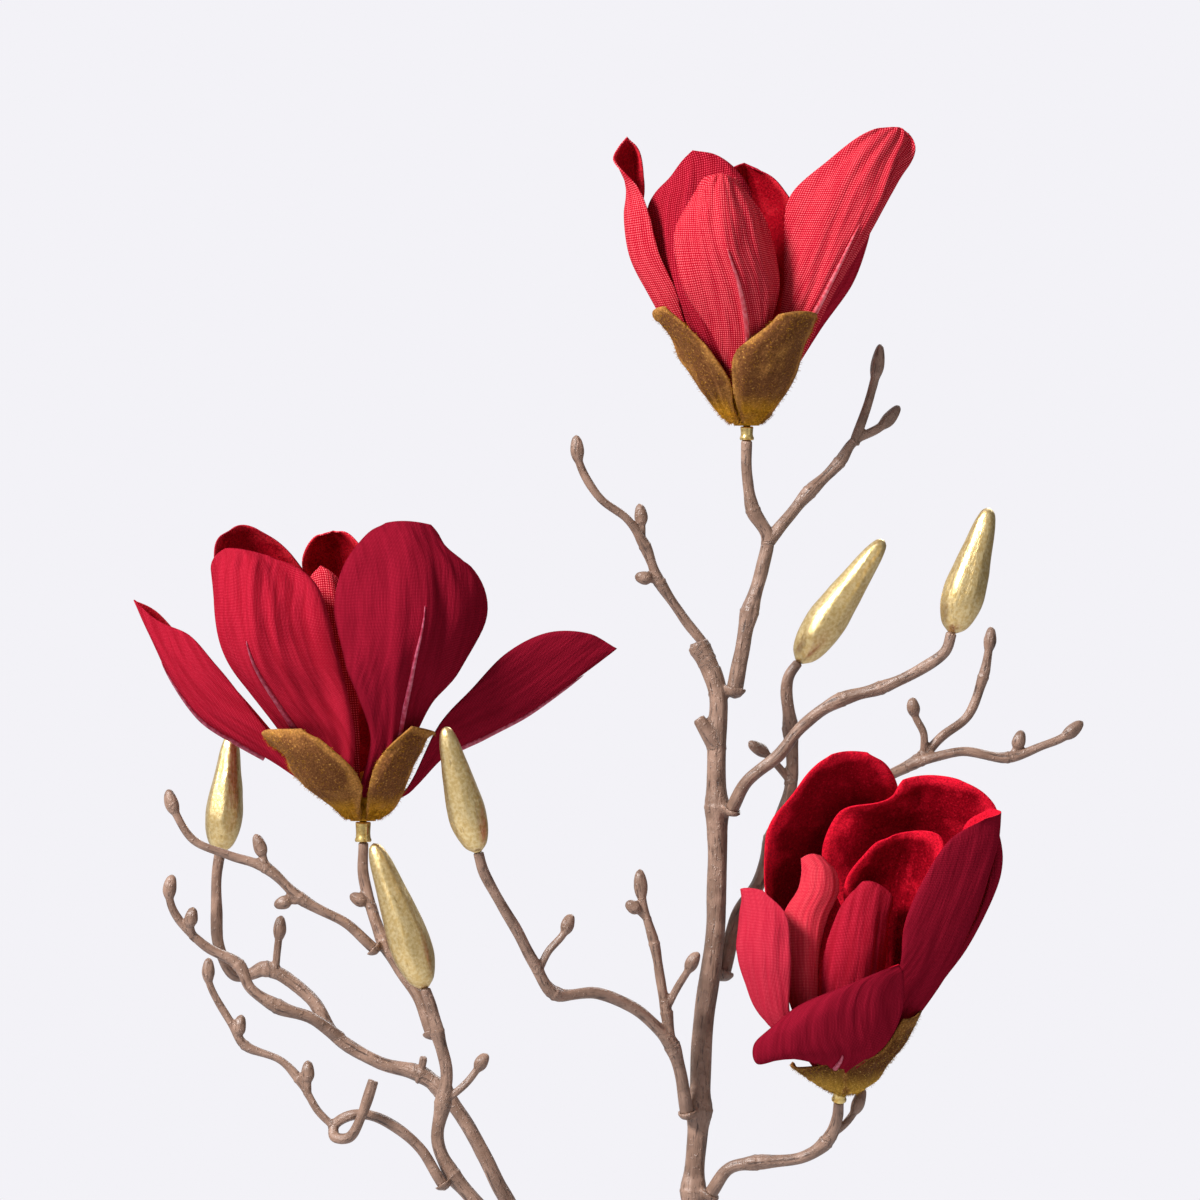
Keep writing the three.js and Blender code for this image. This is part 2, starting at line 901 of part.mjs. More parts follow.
const leftBloomStem = new Moulding(
  "left_bloom_stem",
  {
    route: [
      [-86, -10, 160],
      [-91, -7, 170],
      [-98, -4, 181],
      [-103, -2, 189],
      [-107, 0, 200],
      [-110, 2, 212],
      [-110, 2, 222],
    ],
    from: BRANCH_RADIUS,
    to: STALK_RADIUS,
    nodes: [3],
    tip: "peg",
  },
  [{ route: [[-106, 0, 200], [-109, 0, 202], [-115, 0, 205]], from: TWIG_RADIUS, to: TWIG_RADIUS }],
  leftFrontStem,
  7,
);

const leftSideTwig = new Moulding(
  "left_side_twig",
  {
    route: [
      [-108, -4, 189],
      [-115, -5, 195],
      [-131, -6, 204],
      [-142, -7, 214],
      [-154, -7, 218],
      [-166, -7, 223],
      [-172, -7, 232],
      [-175, -7, 241],
    ],
    from: STALK_RADIUS,
    to: TWIG_RADIUS,
    nodes: [2, 3],
  },
  [
    { route: [[-142, -7, 214], [-143, -7, 218], [-146, -7, 226]], from: TWIG_RADIUS, to: TWIG_RADIUS },
    { route: [[-130, -6, 203], [-134, -6, 203], [-140, -6, 201]], from: TWIG_RADIUS, to: TWIG_RADIUS },
  ],
  leftBloomStem,
  3,
);

const mouldings = [
  trunk,
  topSpray,
  upperLeftTwig,
  rightBranch,
  rearBranch,
  rightBloomBranch,
  midLeftBranch,
  leftLimb,
  leftRearStem,
  leftFrontStem,
  curledTwig,
  leftBloomStem,
  leftSideTwig,
];

const blooms = [
  {
    name: "top_bloom",
    stem: topSpray.main,
    socket: { height: 4.6, radius: 2.2 },
    throat: { radius: 7.5, height: 14 },
    calyx: { radius: 10.5, height: 6 },
    petals: [
      {
        name: "back",
        layer: 0,
        azimuth: 92,
        spread: 38,
        free: [
          [[13, 12, 38], [0, 20, 38], [-12, 12, 38]],
          [[17, 10, 60], [0, 22, 60], [-16, 10, 60]],
          [[16, 8, 72], [0, 20, 74], [-15, 8, 72]],
          [[11.5, 8, 80.5], [-0.5, 16, 83], [-10, 8, 81]],
          [[-0.6, 12, 88.6]],
        ],
      },
      {
        name: "back_left",
        layer: 1,
        azimuth: 232,
        spread: 34,
        free: [
          [[-18, -7, 28], [-12, -15, 28], [-4, -17, 28]],
          [[-26, -9, 44], [-17, -19, 44], [-3, -21, 44]],
          [[-30, -8, 58], [-19, -20, 60], [0, -21, 60]],
          [[-32.3, -5, 70.5], [-18, -18, 74], [1, -17, 75]],
          [[-30.8, -5, 77.5], [-17, -16, 82], [-2.9, -15, 84.5]],
          [[-25, -8, 83.5], [-17, -13, 87.5], [-8.2, -13, 88.9]],
          [[-18.2, -11, 91.5]],
        ],
      },
      {
        name: "front",
        layer: 2,
        azimuth: 262,
        spread: 28,
        free: [
          [[-11, -18, 28], [0, -23, 28], [7, -19, 28]],
          [[-21.5, -22, 45], [-3, -32, 46], [11, -22, 46]],
          [[-24, -23, 59], [-7, -35, 58], [10.6, -22, 57]],
          [[-22.5, -23, 69], [-9, -34, 69], [7, -22, 68]],
          [[-16, -23, 79], [-9.5, -29, 79.5], [-1, -22.5, 79.5]],
          [[-9.3, -25, 83.5]],
        ],
      },
      {
        name: "right",
        layer: 2,
        azimuth: 324,
        spread: 30,
        free: [
          [[8.5, -14, 28], [16, -15, 28], [19, -5, 28]],
          [[11, -17, 45], [25, -22, 43], [27, -7, 45]],
          [[11.5, -18, 60], [33, -25, 59], [36, -8, 60]],
          [[13.5, -18, 76], [40.5, -24, 74], [44, -9, 74]],
          [[27, -17, 89], [46, -19, 87], [50, -10, 85]],
          [[40, -16, 97.8], [50.5, -14, 96], [54.6, -11, 92.5]],
          [[50.5, -13, 99.2]],
        ],
      },
      {
        name: "back_right",
        layer: 3,
        azimuth: 31,
        spread: 30,
        free: [
          [[21, -2, 32], [24, 6, 32], [17, 15, 32]],
          [[30, -3, 48], [35, 8, 48], [25, 17, 48]],
          [[36.5, -2, 64], [40.5, 8, 64], [30, 16, 64]],
          [[40, 0, 75], [41.5, 8, 76], [35, 12, 76]],
          [[40, 7, 82]],
        ],
      },
      {
        name: "left_curled",
        layer: 3,
        azimuth: 190,
        spread: 28,
        free: [
          [[-21, 6, 31], [-25, -3, 30], [-20, -10, 31]],
          [[-28, 6, 45], [-33, -5, 44], [-25, -12.5, 45]],
          [[-34, 6, 58], [-39, -5, 56], [-31, -13.5, 57]],
          [[-36, 7, 71], [-41, -4, 70], [-34, -12, 71]],
          [[-35, 6, 79], [-40.5, 0, 77], [-36, -10, 78]],
          [[-35, 2, 90], [-40, 5, 89.5], [-45, -4, 89]],
          [[-40, 0, 96.8]],
        ],
      },
    ],
    sepals: [
      {
        name: "left",
        azimuth: 205,
        spread: 38,
        free: [
          [[-16.5, -4, 14], [-14, -12, 14], [-6, -16, 14.5]],
          [[-21.5, -6, 22], [-18, -15, 23], [-12.5, -19, 24.5]],
          [[-26, -6, 31], [-25, -15, 32], [-20, -19, 32.5]],
          [[-30.5, -8, 35], [-31.5, -13, 38], [-28, -17, 39.5]],
        ],
      },
      {
        name: "right",
        azimuth: 292,
        spread: 40,
        free: [
          [[-5, -17, 14], [7, -19, 13], [14.5, -9, 14]],
          [[-4, -24, 24], [9, -26, 23], [18.5, -13, 24]],
          [[4, -28, 31], [14, -28, 31], [21, -18, 31]],
          [[10, -29, 36.5], [17, -28, 37.5], [23, -22, 36.8]],
        ],
      },
      {
        name: "back",
        azimuth: 82,
        spread: 52,
        free: [
          [[11, 11, 15], [0, 19, 15], [-12, 9, 15]],
          [[11, 18, 28], [0, 26, 28], [-12, 17, 28]],
          [[7, 23, 36], [0, 28, 38], [-6, 23, 36]],
        ],
      },
    ],
  },
  {
    name: "left_bloom",
    stem: leftBloomStem.main,
    socket: { height: 6.7, radius: 2.6 },
    throat: { radius: 9, height: 11 },
    calyx: { radius: 11, height: 5 },
    petals: [
      {
        name: "inner",
        layer: 0,
        azimuth: 235,
        spread: 28,
        free: [
          [[-13, -5, 30], [-8, -11, 30], [-1, -11, 30]],
          [[-19, -5, 55], [-10, -13, 55], [-3, -9, 55]],
          [[-21, -4, 72], [-12, -12, 74], [-5, -8, 72]],
          [[-14, -9, 85.5]],
        ],
      },
      {
        name: "back_left",
        layer: 1,
        azimuth: 150,
        spread: 34,
        free: [
          [[-9, 18, 28], [-20, 14, 28], [-24, 3, 28]],
          [[-12, 22, 50], [-32, 17, 50], [-38, 2, 50]],
          [[-14, 22, 68], [-37, 18, 68], [-46, 0, 68]],
          [[-18, 18, 80], [-39, 16, 82], [-49, 0, 82]],
          [[-24, 13, 89.5], [-40, 12, 94], [-49, 0, 92]],
          [[-36, 10, 98], [-40.5, 9, 99.2], [-44, 6, 98]],
        ],
      },
      {
        name: "back",
        layer: 1,
        azimuth: 78,
        spread: 34,
        free: [
          [[18, 12, 32], [2, 23, 32], [-9, 20, 32]],
          [[20, 14, 60], [-2, 30, 60], [-14, 25, 60]],
          [[12, 12, 78], [-6, 27, 80], [-20, 22, 78]],
          [[2, 8, 90], [-9, 21, 91], [-21, 17, 89]],
          [[-10.5, 13, 97.3]],
        ],
      },
      {
        name: "front_left",
        layer: 2,
        azimuth: 222,
        spread: 34,
        free: [
          [[-25, -6, 28.5], [-20, -19, 29], [-2, -22, 28]],
          [[-36, -7, 42], [-29, -26, 42], [-4.5, -25.5, 41]],
          [[-46, -6, 55], [-36, -31, 55], [-8, -27, 54]],
          [[-50.5, -5, 69], [-39, -31, 69], [-11.5, -26, 68]],
          [[-50.9, -7, 83], [-39, -26, 83], [-17, -22, 79.5]],
          [[-45.4, -14, 91.2], [-39.2, -18, 90.8], [-30.5, -19, 88.6]],
        ],
      },
      {
        name: "front",
        layer: 2,
        azimuth: 300,
        spread: 34,
        free: [
          [[3, -21, 28], [12, -21, 27], [17, -8, 28]],
          [[-1, -28, 42], [15, -30, 41], [23, -13, 40]],
          [[-5.5, -31, 54], [18, -36, 54], [32, -16, 51]],
          [[-8.8, -30, 70], [21, -35, 70], [40, -14, 69]],
          [[-5, -26, 86], [20, -29, 86], [36, -15, 85]],
          [[7, -21, 98], [15, -21, 100], [25, -17, 97.5]],
        ],
      },
      {
        name: "left_open",
        layer: 3,
        azimuth: 181,
        spread: 20,
        neck: { radius: 15.5, height: 10 },
        free: [
          [[-28, 9, 26], [-30, -1, 19.5], [-27, -11, 25]],
          [[-40, 10, 40], [-42, -3, 26], [-38, -14, 39]],
          [[-52, 10, 53], [-54, -4, 34], [-48, -15, 52]],
          [[-62, 7, 62], [-63, -5, 46], [-57.5, -14, 62]],
          [[-69, 1, 70], [-71, -5, 62], [-68, -9, 67]],
          [[-76.4, -5, 74]],
        ],
      },
      {
        name: "right_open",
        layer: 3,
        azimuth: 352,
        spread: 20,
        neck: { radius: 15.5, height: 10 },
        free: [
          [[26, -11, 33], [28, -2, 22.5], [26, 9, 29]],
          [[36, -13, 44], [40, -3, 28.5], [38, 10, 41]],
          [[48, -13, 56.5], [54, -4.5, 35.5], [52, 11, 54]],
          [[62, -10, 63.3], [67, -5, 44], [65, 8, 60]],
          [[76, -8, 62.7], [77.5, -5, 52], [77, 2, 60]],
          [[84.7, -5, 57.8]],
        ],
      },
    ],
    sepals: [
      {
        name: "left",
        azimuth: 222,
        spread: 44,
        free: [
          [[-19, -7, 12], [-14, -17, 11], [0, -20, 12.5]],
          [[-24, -11, 18], [-18, -22, 18], [-4, -25, 19]],
          [[-28, -11, 24], [-24, -24, 24.5], [-12, -27, 26.5]],
          [[-33, -14, 29], [-31, -20, 31], [-20, -26, 31.2]],
        ],
      },
      {
        name: "right",
        azimuth: 308,
        spread: 31,
        free: [
          [[2.5, -20, 12.5], [9.5, -17, 11], [14, -10.5, 12]],
          [[5, -25, 20], [13, -22, 19], [17, -11, 20]],
          [[10, -27, 26], [17, -23, 25.5], [20, -14, 26]],
          [[17, -26, 32], [22, -21, 31], [24.5, -17, 29.5]],
        ],
      },
      {
        name: "back",
        azimuth: 80,
        spread: 50,
        free: [
          [[14, 12, 13], [1, 21, 13], [-14, 12, 13]],
          [[13, 20, 24], [0, 29, 25], [-12, 21, 24]],
          [[7, 26, 31], [0, 31, 33], [-7, 26, 31]],
        ],
      },
    ],
  },
  {
    name: "right_bloom",
    stem: rightBloomBranch.main,
    socket: { height: 4.7, radius: 2.3 },
    throat: { radius: 7, height: 13 },
    calyx: { radius: 9, height: 5.5 },
    petals: [
      {
        name: "inner",
        layer: 0,
        azimuth: 285,
        spread: 34,
        free: [
          [[-6.5, -16, 30], [3, -20, 29], [12, -16, 30]],
          [[-5.7, -18, 45], [5, -23, 45], [15, -17, 46]],
          [[-2, -17, 57], [7, -21, 57], [16.2, -16, 57]],
          [[7, -15, 69], [10, -16, 69], [13, -15, 67.8]],
        ],
      },
      {
        name: "inner_right",
        layer: 1,
        azimuth: 40,
        spread: 34,
        free: [
          [[20, -12, 35], [15, -3, 35], [5, -3, 35]],
          [[27, -17, 55], [17, -6, 56], [2, -9, 55]],
          [[31, -19, 70], [20, -9, 71], [2, -13, 68]],
          [[33, -20, 81], [22, -13, 80], [9, -16, 77.5]],
          [[29, -19, 84.6], [23, -16, 84.8], [17, -17, 82.8]],
        ],
      },
      {
        name: "inner_left",
        layer: 1,
        azimuth: 215,
        spread: 28,
        free: [
          [[-17, -12, 28], [-12, -17, 28], [-7.5, -16, 28]],
          [[-19, -14, 44], [-12, -19, 44], [-7, -16, 44]],
          [[-19, -14, 58], [-11, -18, 58], [-4.2, -15, 57]],
          [[-14.3, -14, 67], [-7, -17, 67], [-0.5, -13, 66]],
          [[-13.3, -12, 76.3], [-9.5, -13, 78], [-5.5, -12, 76.6]],
        ],
      },
      {
        name: "back_right",
        layer: 2,
        azimuth: 42,
        spread: 34,
        free: [
          [[29, -9, 38], [23, 3, 38], [9, 5, 38]],
          [[42, -12, 62], [28, 4, 64], [0, 2, 62]],
          [[48, -14, 78], [29, 1, 82], [-5, -4, 77]],
          [[50, -15, 88], [28, -4, 93], [0, -7, 87.5]],
          [[47, -15, 95], [30, -7, 99], [14.5, -9, 94]],
          [[38, -13, 100.5], [30, -10, 102.3], [21.5, -11, 101]],
        ],
      },
      {
        name: "back",
        layer: 2,
        azimuth: 118,
        spread: 34,
        free: [
          [[4, 9, 38], [-10, 11, 38], [-20, 0, 38]],
          [[8, 10, 66], [-8, 10, 66], [-24, -5, 65]],
          [[14, 5, 84], [-4, 6, 85], [-23, -9, 80]],
          [[18, -2, 97], [-1, -1, 98], [-18, -11, 91.5]],
          [[15.4, -6, 104.2], [1, -5, 105], [-12, -12, 102]],
          [[8, -9, 109.5], [3.5, -9, 110.3], [-2, -11, 109]],
        ],
      },
      {
        name: "left",
        layer: 3,
        azimuth: 197,
        spread: 28,
        free: [
          [[-25, -3, 27], [-25, -15, 23], [-17, -23, 25]],
          [[-31, -6, 37], [-29, -21, 36], [-17, -27, 37]],
          [[-34.5, -9, 47], [-30, -24, 47], [-17, -29, 48]],
          [[-33.5, -12, 57], [-29, -23, 58], [-18.5, -28, 58.5]],
          [[-33.3, -16, 66.5], [-30.5, -19, 67], [-26, -22, 66.3]],
        ],
      },
      {
        name: "right",
        layer: 3,
        azimuth: 322,
        spread: 30,
        free: [
          [[15, -25, 28], [26, -20, 27], [26, -8, 28]],
          [[19, -31, 43], [36.5, -25, 43], [32, -10, 44]],
          [[20, -34, 55], [43, -27, 57], [36, -11, 58]],
          [[25, -35, 68], [48, -27, 70], [38, -13, 73]],
          [[35, -34, 83], [51.5, -25, 82], [41, -16, 88]],
          [[47, -29, 90], [52.3, -23, 91.8], [49, -18, 93]],
        ],
      },
      {
        name: "right_outer",
        layer: 4,
        azimuth: 22,
        spread: 23,
        free: [
          [[28, -6, 29], [29, 2, 30], [21, 9, 30]],
          [[39, -7, 45], [41, 1, 47], [31, 10, 47]],
          [[47, -9, 62], [50, -3, 64], [41, 8, 64]],
          [[50.5, -11, 76], [53, -7, 76], [46, 3, 76]],
          [[51, -11, 90]],
        ],
      },
      {
        name: "front",
        layer: 4,
        azimuth: 257,
        spread: 24,
        neck: { height: 15 },
        free: [
          [[-15, -23, 13], [0, -30, 12.5], [14, -27, 15.5]],
          [[-28, -25, 12], [-2, -34, 19], [19, -32, 25]],
          [[-26.5, -26, 17.5], [-2, -37, 27], [20, -34, 33]],
          [[-17, -27, 26], [1, -38, 34.5], [19.5, -36, 39.5]],
          [[1, -29, 35], [10, -37, 39.5], [18.5, -36.5, 42.5]],
        ],
      },
    ],
    sepals: [
      {
        name: "left",
        azimuth: 225,
        spread: 44,
        free: [
          [[-14, -8, 7], [-12, -17, 5.5], [-1, -21, 5]],
          [[-18, -12, 11.5], [-17, -18, 8.5], [-12, -22, 6]],
        ],
      },
      {
        name: "right",
        azimuth: 318,
        spread: 31,
        free: [
          [[9, -22, 8], [15, -20, 9], [17.5, -9, 10]],
          [[15, -28, 16], [21.5, -24, 16], [23.5, -13, 17]],
          [[21.5, -32, 26], [27, -28, 28], [29.5, -21, 29]],
        ],
      },
      {
        name: "back",
        azimuth: 91,
        spread: 42,
        free: [
          [[15, 8, 16], [1, 17, 19], [-14, 8, 16]],
          [[11, 17, 28], [0, 23, 31], [-11, 17, 28]],
        ],
      },
    ],
  },
];

const magnolia = new THREE.Group();
const crown = new THREE.Group();
crown.position.z = SHANK_LENGTH;
magnolia.add(crown);

const cutEnd = new THREE.Vector3(0, 0, -SHANK_LENGTH);
const wireBore = rod(
  cutEnd.clone().addScaledVector(UP, -BORE_OVERCUT),
  UP,
  WIRE_RADIUS + CLEARANCE,
  BORE_OVERCUT + WIRE_LENGTH + CLEARANCE,
  LIMB_SIDES,
);
const wire = rod(cutEnd, UP, WIRE_RADIUS, WIRE_LENGTH, LIMB_SIDES);
crown.add(piece("core_wire", geometryOf(wire), STEEL));
crown.add(piece(trunk.name, geometryOf(trunk.solid().subtract(wireBore)), BARK));
for (const moulding of mouldings.slice(1)) crown.add(moulding.mesh());

crown.add(gildedBud("gilded_bud_top_right", rearBranch.main, 50, 13.5, 1));
crown.add(gildedBud("gilded_bud_far_right", rightBranch.main, 43, 14, -1));
crown.add(gildedBud("gilded_bud_centre", midLeftBranch.main, 43, 12.5, 1));
crown.add(gildedBud("gilded_bud_far_left", leftRearStem.main, 40, 12.5, -1));
crown.add(gildedBud("gilded_bud_left", leftFrontStem.main, 51, 14, -1));

for (const bloom of blooms) {
  const seat = new THREE.Group();
  seatOnEnd(seat, bloom.stem, CLEARANCE);
  seat.add(socket(bloom.name + "_socket", bloom.socket.height, bloom.socket.radius));
  crown.add(seat);
  const head = bloomGroup(bloom.name, bloom, seat.quaternion);
  head.position.copy(seat.position).addScaledVector(bloom.stem.endDirection, bloom.socket.height);
  crown.add(head);
}

export default magnolia;
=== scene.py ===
"""An artificial magnolia stem: cloth blooms, gilded buds and bark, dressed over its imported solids.

Lengths in the tables are millimetres in the part's frame: +Z up the trunk, +X to the viewer's right,
and the viewer at -Y. Branch routes are written in the crown's frame, whose origin is the trunk's
lowest fork.
"""

from __future__ import annotations

import json
import logging
import math
from dataclasses import dataclass, field
from enum import Enum
from typing import Any, Iterable, Sequence

import bmesh
import bpy
import numpy as np
from mathutils import Matrix, Vector, kdtree, noise

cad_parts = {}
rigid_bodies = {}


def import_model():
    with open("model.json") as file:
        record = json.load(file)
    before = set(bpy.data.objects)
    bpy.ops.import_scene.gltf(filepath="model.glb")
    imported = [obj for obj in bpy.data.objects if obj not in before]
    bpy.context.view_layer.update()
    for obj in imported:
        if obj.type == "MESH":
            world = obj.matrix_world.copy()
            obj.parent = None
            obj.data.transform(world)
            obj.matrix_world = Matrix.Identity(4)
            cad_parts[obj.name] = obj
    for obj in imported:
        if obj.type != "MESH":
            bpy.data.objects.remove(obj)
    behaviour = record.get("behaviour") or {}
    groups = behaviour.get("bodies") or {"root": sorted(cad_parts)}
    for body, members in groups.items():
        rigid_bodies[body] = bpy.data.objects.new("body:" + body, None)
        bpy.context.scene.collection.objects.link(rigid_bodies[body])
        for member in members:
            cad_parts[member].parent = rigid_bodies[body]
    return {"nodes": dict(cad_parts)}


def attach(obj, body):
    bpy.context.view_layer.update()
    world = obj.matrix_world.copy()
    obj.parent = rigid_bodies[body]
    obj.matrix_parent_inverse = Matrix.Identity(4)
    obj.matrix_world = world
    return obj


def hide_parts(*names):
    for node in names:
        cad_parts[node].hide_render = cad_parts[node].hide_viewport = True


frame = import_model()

log = logging.getLogger("magnolia")

MM = 0.001
SHANK_LENGTH = 360.0
CLEARANCE = 0.3
TRUNK_RADIUS = 3.6
TRUNK_TOP_RADIUS = 3.2
LIMB_RADIUS = 2.7
BRANCH_RADIUS = 2.2
STALK_RADIUS = 1.8
TWIG_RADIUS = 1.3
WIRE_RADIUS = 1.4
WIRE_DEPTH = 340.0
STEM_SIDES = 14
PEG_SIDES = 16
WIRE_BORE_SIDES = 24
BUD_SIDES = 48
SOCKET_SIDES = 40
CORE_SIDES = 36
RIDGE_SIDES = 10
BUD_RINGS = 12
PEG_BORE = 1.3
PEG_BORE_DEPTH = 4.3
WELD = 1e-6

Point = tuple[float, float, float]
Station = tuple[Point, Point, Point]
Output = bpy.types.NodeSocket
Tree = bpy.types.NodeTree
Node = bpy.types.Node


# Materials


def srgb(code: int) -> tuple[float, float, float, float]:
    """Turns an sRGB hex colour to linear.

    Args:
        code: the colour as 0xRRGGBB.

    Returns:
        Red, green and blue, linear, and an alpha of 1.
    """
    channels = [((code >> shift) & 255) / 255 for shift in (16, 8, 0)]
    linear = [c / 12.92 if c <= 0.04045 else ((c + 0.055) / 1.055) ** 2.4 for c in channels]
    return (*linear, 1.0)


def add_node(tree: Tree, kind: str, inputs: dict[Any, Any] | None = None, **settings: Any) -> Node:
    """Adds a node with its settings and links.

    Args:
        tree: the material's or world's node tree.
        kind: the node's type name.
        inputs: socket name or number to a value, or to another node's output.
        settings: the node's own properties.

    Returns:
        The new node.
    """
    node = tree.nodes.new(kind)
    for name, value in settings.items():
        setattr(node, name, value)
    for socket, value in (inputs or {}).items():
        if isinstance(value, bpy.types.NodeSocket):
            tree.links.new(value, node.inputs[socket])
        else:
            node.inputs[socket].default_value = value
    return node


def coordinate(tree: Tree, kind: str) -> Output:
    """The piece's own UV or Object coordinates."""
    return add_node(tree, "ShaderNodeTexCoord").outputs[kind]


def attribute(tree: Tree, name: str, kind: str) -> Output:
    """A value that the piece's mesh stores at its points."""
    return add_node(tree, "ShaderNodeAttribute", attribute_name=name).outputs[kind]


def noisy(tree: Tree, where: Output, scale: float, detail: float = 2.0, roughness: float = 0.5) -> Output:
    """Even noise at a scale of so many grains a metre."""
    inputs = {"Vector": where, "Scale": scale, "Detail": detail, "Roughness": roughness}
    return add_node(tree, "ShaderNodeTexNoise", inputs).outputs[0]


def drawn_out(tree: Tree, where: Output, scale: Point) -> Output:
    """Coordinates whose pattern is longer along one axis."""
    return add_node(tree, "ShaderNodeMapping", {"Vector": where, "Scale": scale}).outputs[0]


def combine(tree: Tree, operation: str, first: Any, second: Any) -> Output:
    """One sum, product or maximum of two values."""
    return add_node(tree, "ShaderNodeMath", {0: first, 1: second}, operation=operation).outputs[0]


def mixed(tree: Tree, share: Any, low: Any, high: Any, blend: str = "MIX") -> Output:
    """Mixes two colours.

    Args:
        tree: the node tree.
        share: how much of the second, as a value or an output.
        low: the first colour, as a value or an output.
        high: the second colour.
        blend: the mix's blend type.

    Returns:
        The mixed colour's output.
    """
    inputs = {0: share, 6: low, 7: high}
    return add_node(tree, "ShaderNodeMix", inputs, data_type="RGBA", blend_type=blend).outputs[2]


def remapped(tree: Tree, value: Output, reach: tuple[float, float], result: tuple[float, float]) -> Output:
    """Maps a value's range in a straight line onto another one.

    Args:
        tree: the node tree.
        value: the value.
        reach: the range that is mapped.
        result: the range that it is mapped onto.

    Returns:
        The mapped value's output.
    """
    inputs = {"Value": value, "From Min": reach[0], "From Max": reach[1]}
    inputs |= {"To Min": result[0], "To Max": result[1]}
    return add_node(tree, "ShaderNodeMapRange", inputs).outputs["Result"]


def spread(tree: Tree, value: Output, low: float, high: float) -> Output:
    """Maps a value's range from low to high onto 0 to 1, with a soft start and end."""
    inputs = {"Value": value, "From Min": low, "From Max": high}
    return add_node(tree, "ShaderNodeMapRange", inputs, interpolation_type="SMOOTHSTEP").outputs["Result"]


def bumped(tree: Tree, height: Output, depth: float, strength: float, under: Output | None = None) -> Output:
    """Raises a surface.

    Args:
        tree: the node tree.
        height: the pattern, from 0 to 1.
        depth: how high 1 stands, in metres.
        strength: how much of that shows.
        under: another bump that this one lies on.

    Returns:
        The normal's output.
    """
    inputs = {"Height": height, "Distance": depth, "Strength": strength}
    if under is not None:
        inputs["Normal"] = under
    return add_node(tree, "ShaderNodeBump", inputs).outputs[0]


class Finish:
    """A finish: builds its material once and hands it out after that."""

    name: str

    def build(self, tree: Tree) -> dict[str, Any]:
        """Adds the finish's nodes to a material.

        Args:
            tree: the material's node tree.

        Returns:
            The shader's sockets, each with a value or another node's output.
        """
        raise NotImplementedError

    def material(self) -> bpy.types.Material:
        """The finish's material, built on the first call."""
        made = bpy.data.materials.get(self.name)
        if made is None:
            made = bpy.data.materials.new(self.name)
            made.use_nodes = True
            tree = made.node_tree
            tree.nodes.clear()
            surface = add_node(tree, "ShaderNodeBsdfPrincipled", self.build(tree))
            add_node(tree, "ShaderNodeOutputMaterial", {"Surface": surface.outputs["BSDF"]})
        return made


@dataclass(frozen=True)
class WovenPolySilk(Finish):
    """Dyed woven polyester: a plain weave whose threads catch the light, with painted shade between the
    threads, a painted highlight where they cross, and painted shade in the hollows of long streaks along the
    petal.
    """

    name: str
    lit: int
    streak_shade: int
    glint: int
    gap_shade: int
    thread: float = 0.8 * MM
    shine: float = 0.45
    relief: float = 0.14 * MM

    def build(self, tree: Tree) -> dict[str, Any]:
        """Adds the weave with its painted shade and highlight, the streaks with their painted shade, and the
        dye's uneven depth.
        """
        cloth = coordinate(tree, "UV")
        # Real threads are about 0.4 mm apart. They are drawn up to twice that, so that they show.
        scale = math.tau / (20 * self.thread)
        bands = {"Vector": cloth, "Scale": scale, "Distortion": 0.5, "Detail Scale": 3.0}
        warp = add_node(tree, "ShaderNodeTexWave", bands, bands_direction="X").outputs["Fac"]
        weft = add_node(tree, "ShaderNodeTexWave", bands, bands_direction="Y").outputs["Fac"]
        weave = combine(tree, "MULTIPLY", warp, weft)
        streaks = noisy(tree, drawn_out(tree, cloth, (1.0, 0.09, 1.0)), 420.0, 3.0)
        depth = noisy(tree, coordinate(tree, "Object"), 30.0)
        dye = mixed(tree, 1.0, srgb(self.lit), remapped(tree, depth, (0.3, 0.7), (0.88, 1.0)), "MULTIPLY")
        # Painted shade: the streak colour darkens the hollows of the long streaks, which the bump below
        # sinks.
        streaked = mixed(tree, spread(tree, streaks, 0.36, 0.58), srgb(self.streak_shade), dye)
        # Painted shade between the threads, where the weave's bands are low.
        threads = mixed(tree, spread(tree, weave, 0.02, 0.4), srgb(self.gap_shade), streaked)
        # A painted highlight of the glint colour where the threads cross.
        crossing_highlight = combine(tree, "MULTIPLY", spread(tree, weave, 0.35, 0.95), self.shine)
        woven = bumped(tree, weave, self.relief, 0.7)
        return {
            "Base Color": mixed(tree, crossing_highlight, threads, srgb(self.glint)),
            "Normal": bumped(tree, streaks, 1.0 * MM, 0.7, woven),
            "Roughness": 0.65,
            "Specular IOR Level": 0.0,
        }


@dataclass(frozen=True)
class GluedRidge(Finish):
    """Cloth soaked in clear glue along a petal's hidden wire: paler, smooth and a little glossy."""

    name: str
    tone: int
    pale: int

    def build(self, tree: Tree) -> dict[str, Any]:
        """Adds the glue's unevenness."""
        uneven = noisy(tree, coordinate(tree, "Object"), 700.0)
        return {
            "Base Color": mixed(tree, spread(tree, uneven, 0.4, 0.65), srgb(self.tone), srgb(self.pale)),
            "Normal": bumped(tree, uneven, 0.2 * MM, 0.5),
            "Roughness": 0.36,
        }


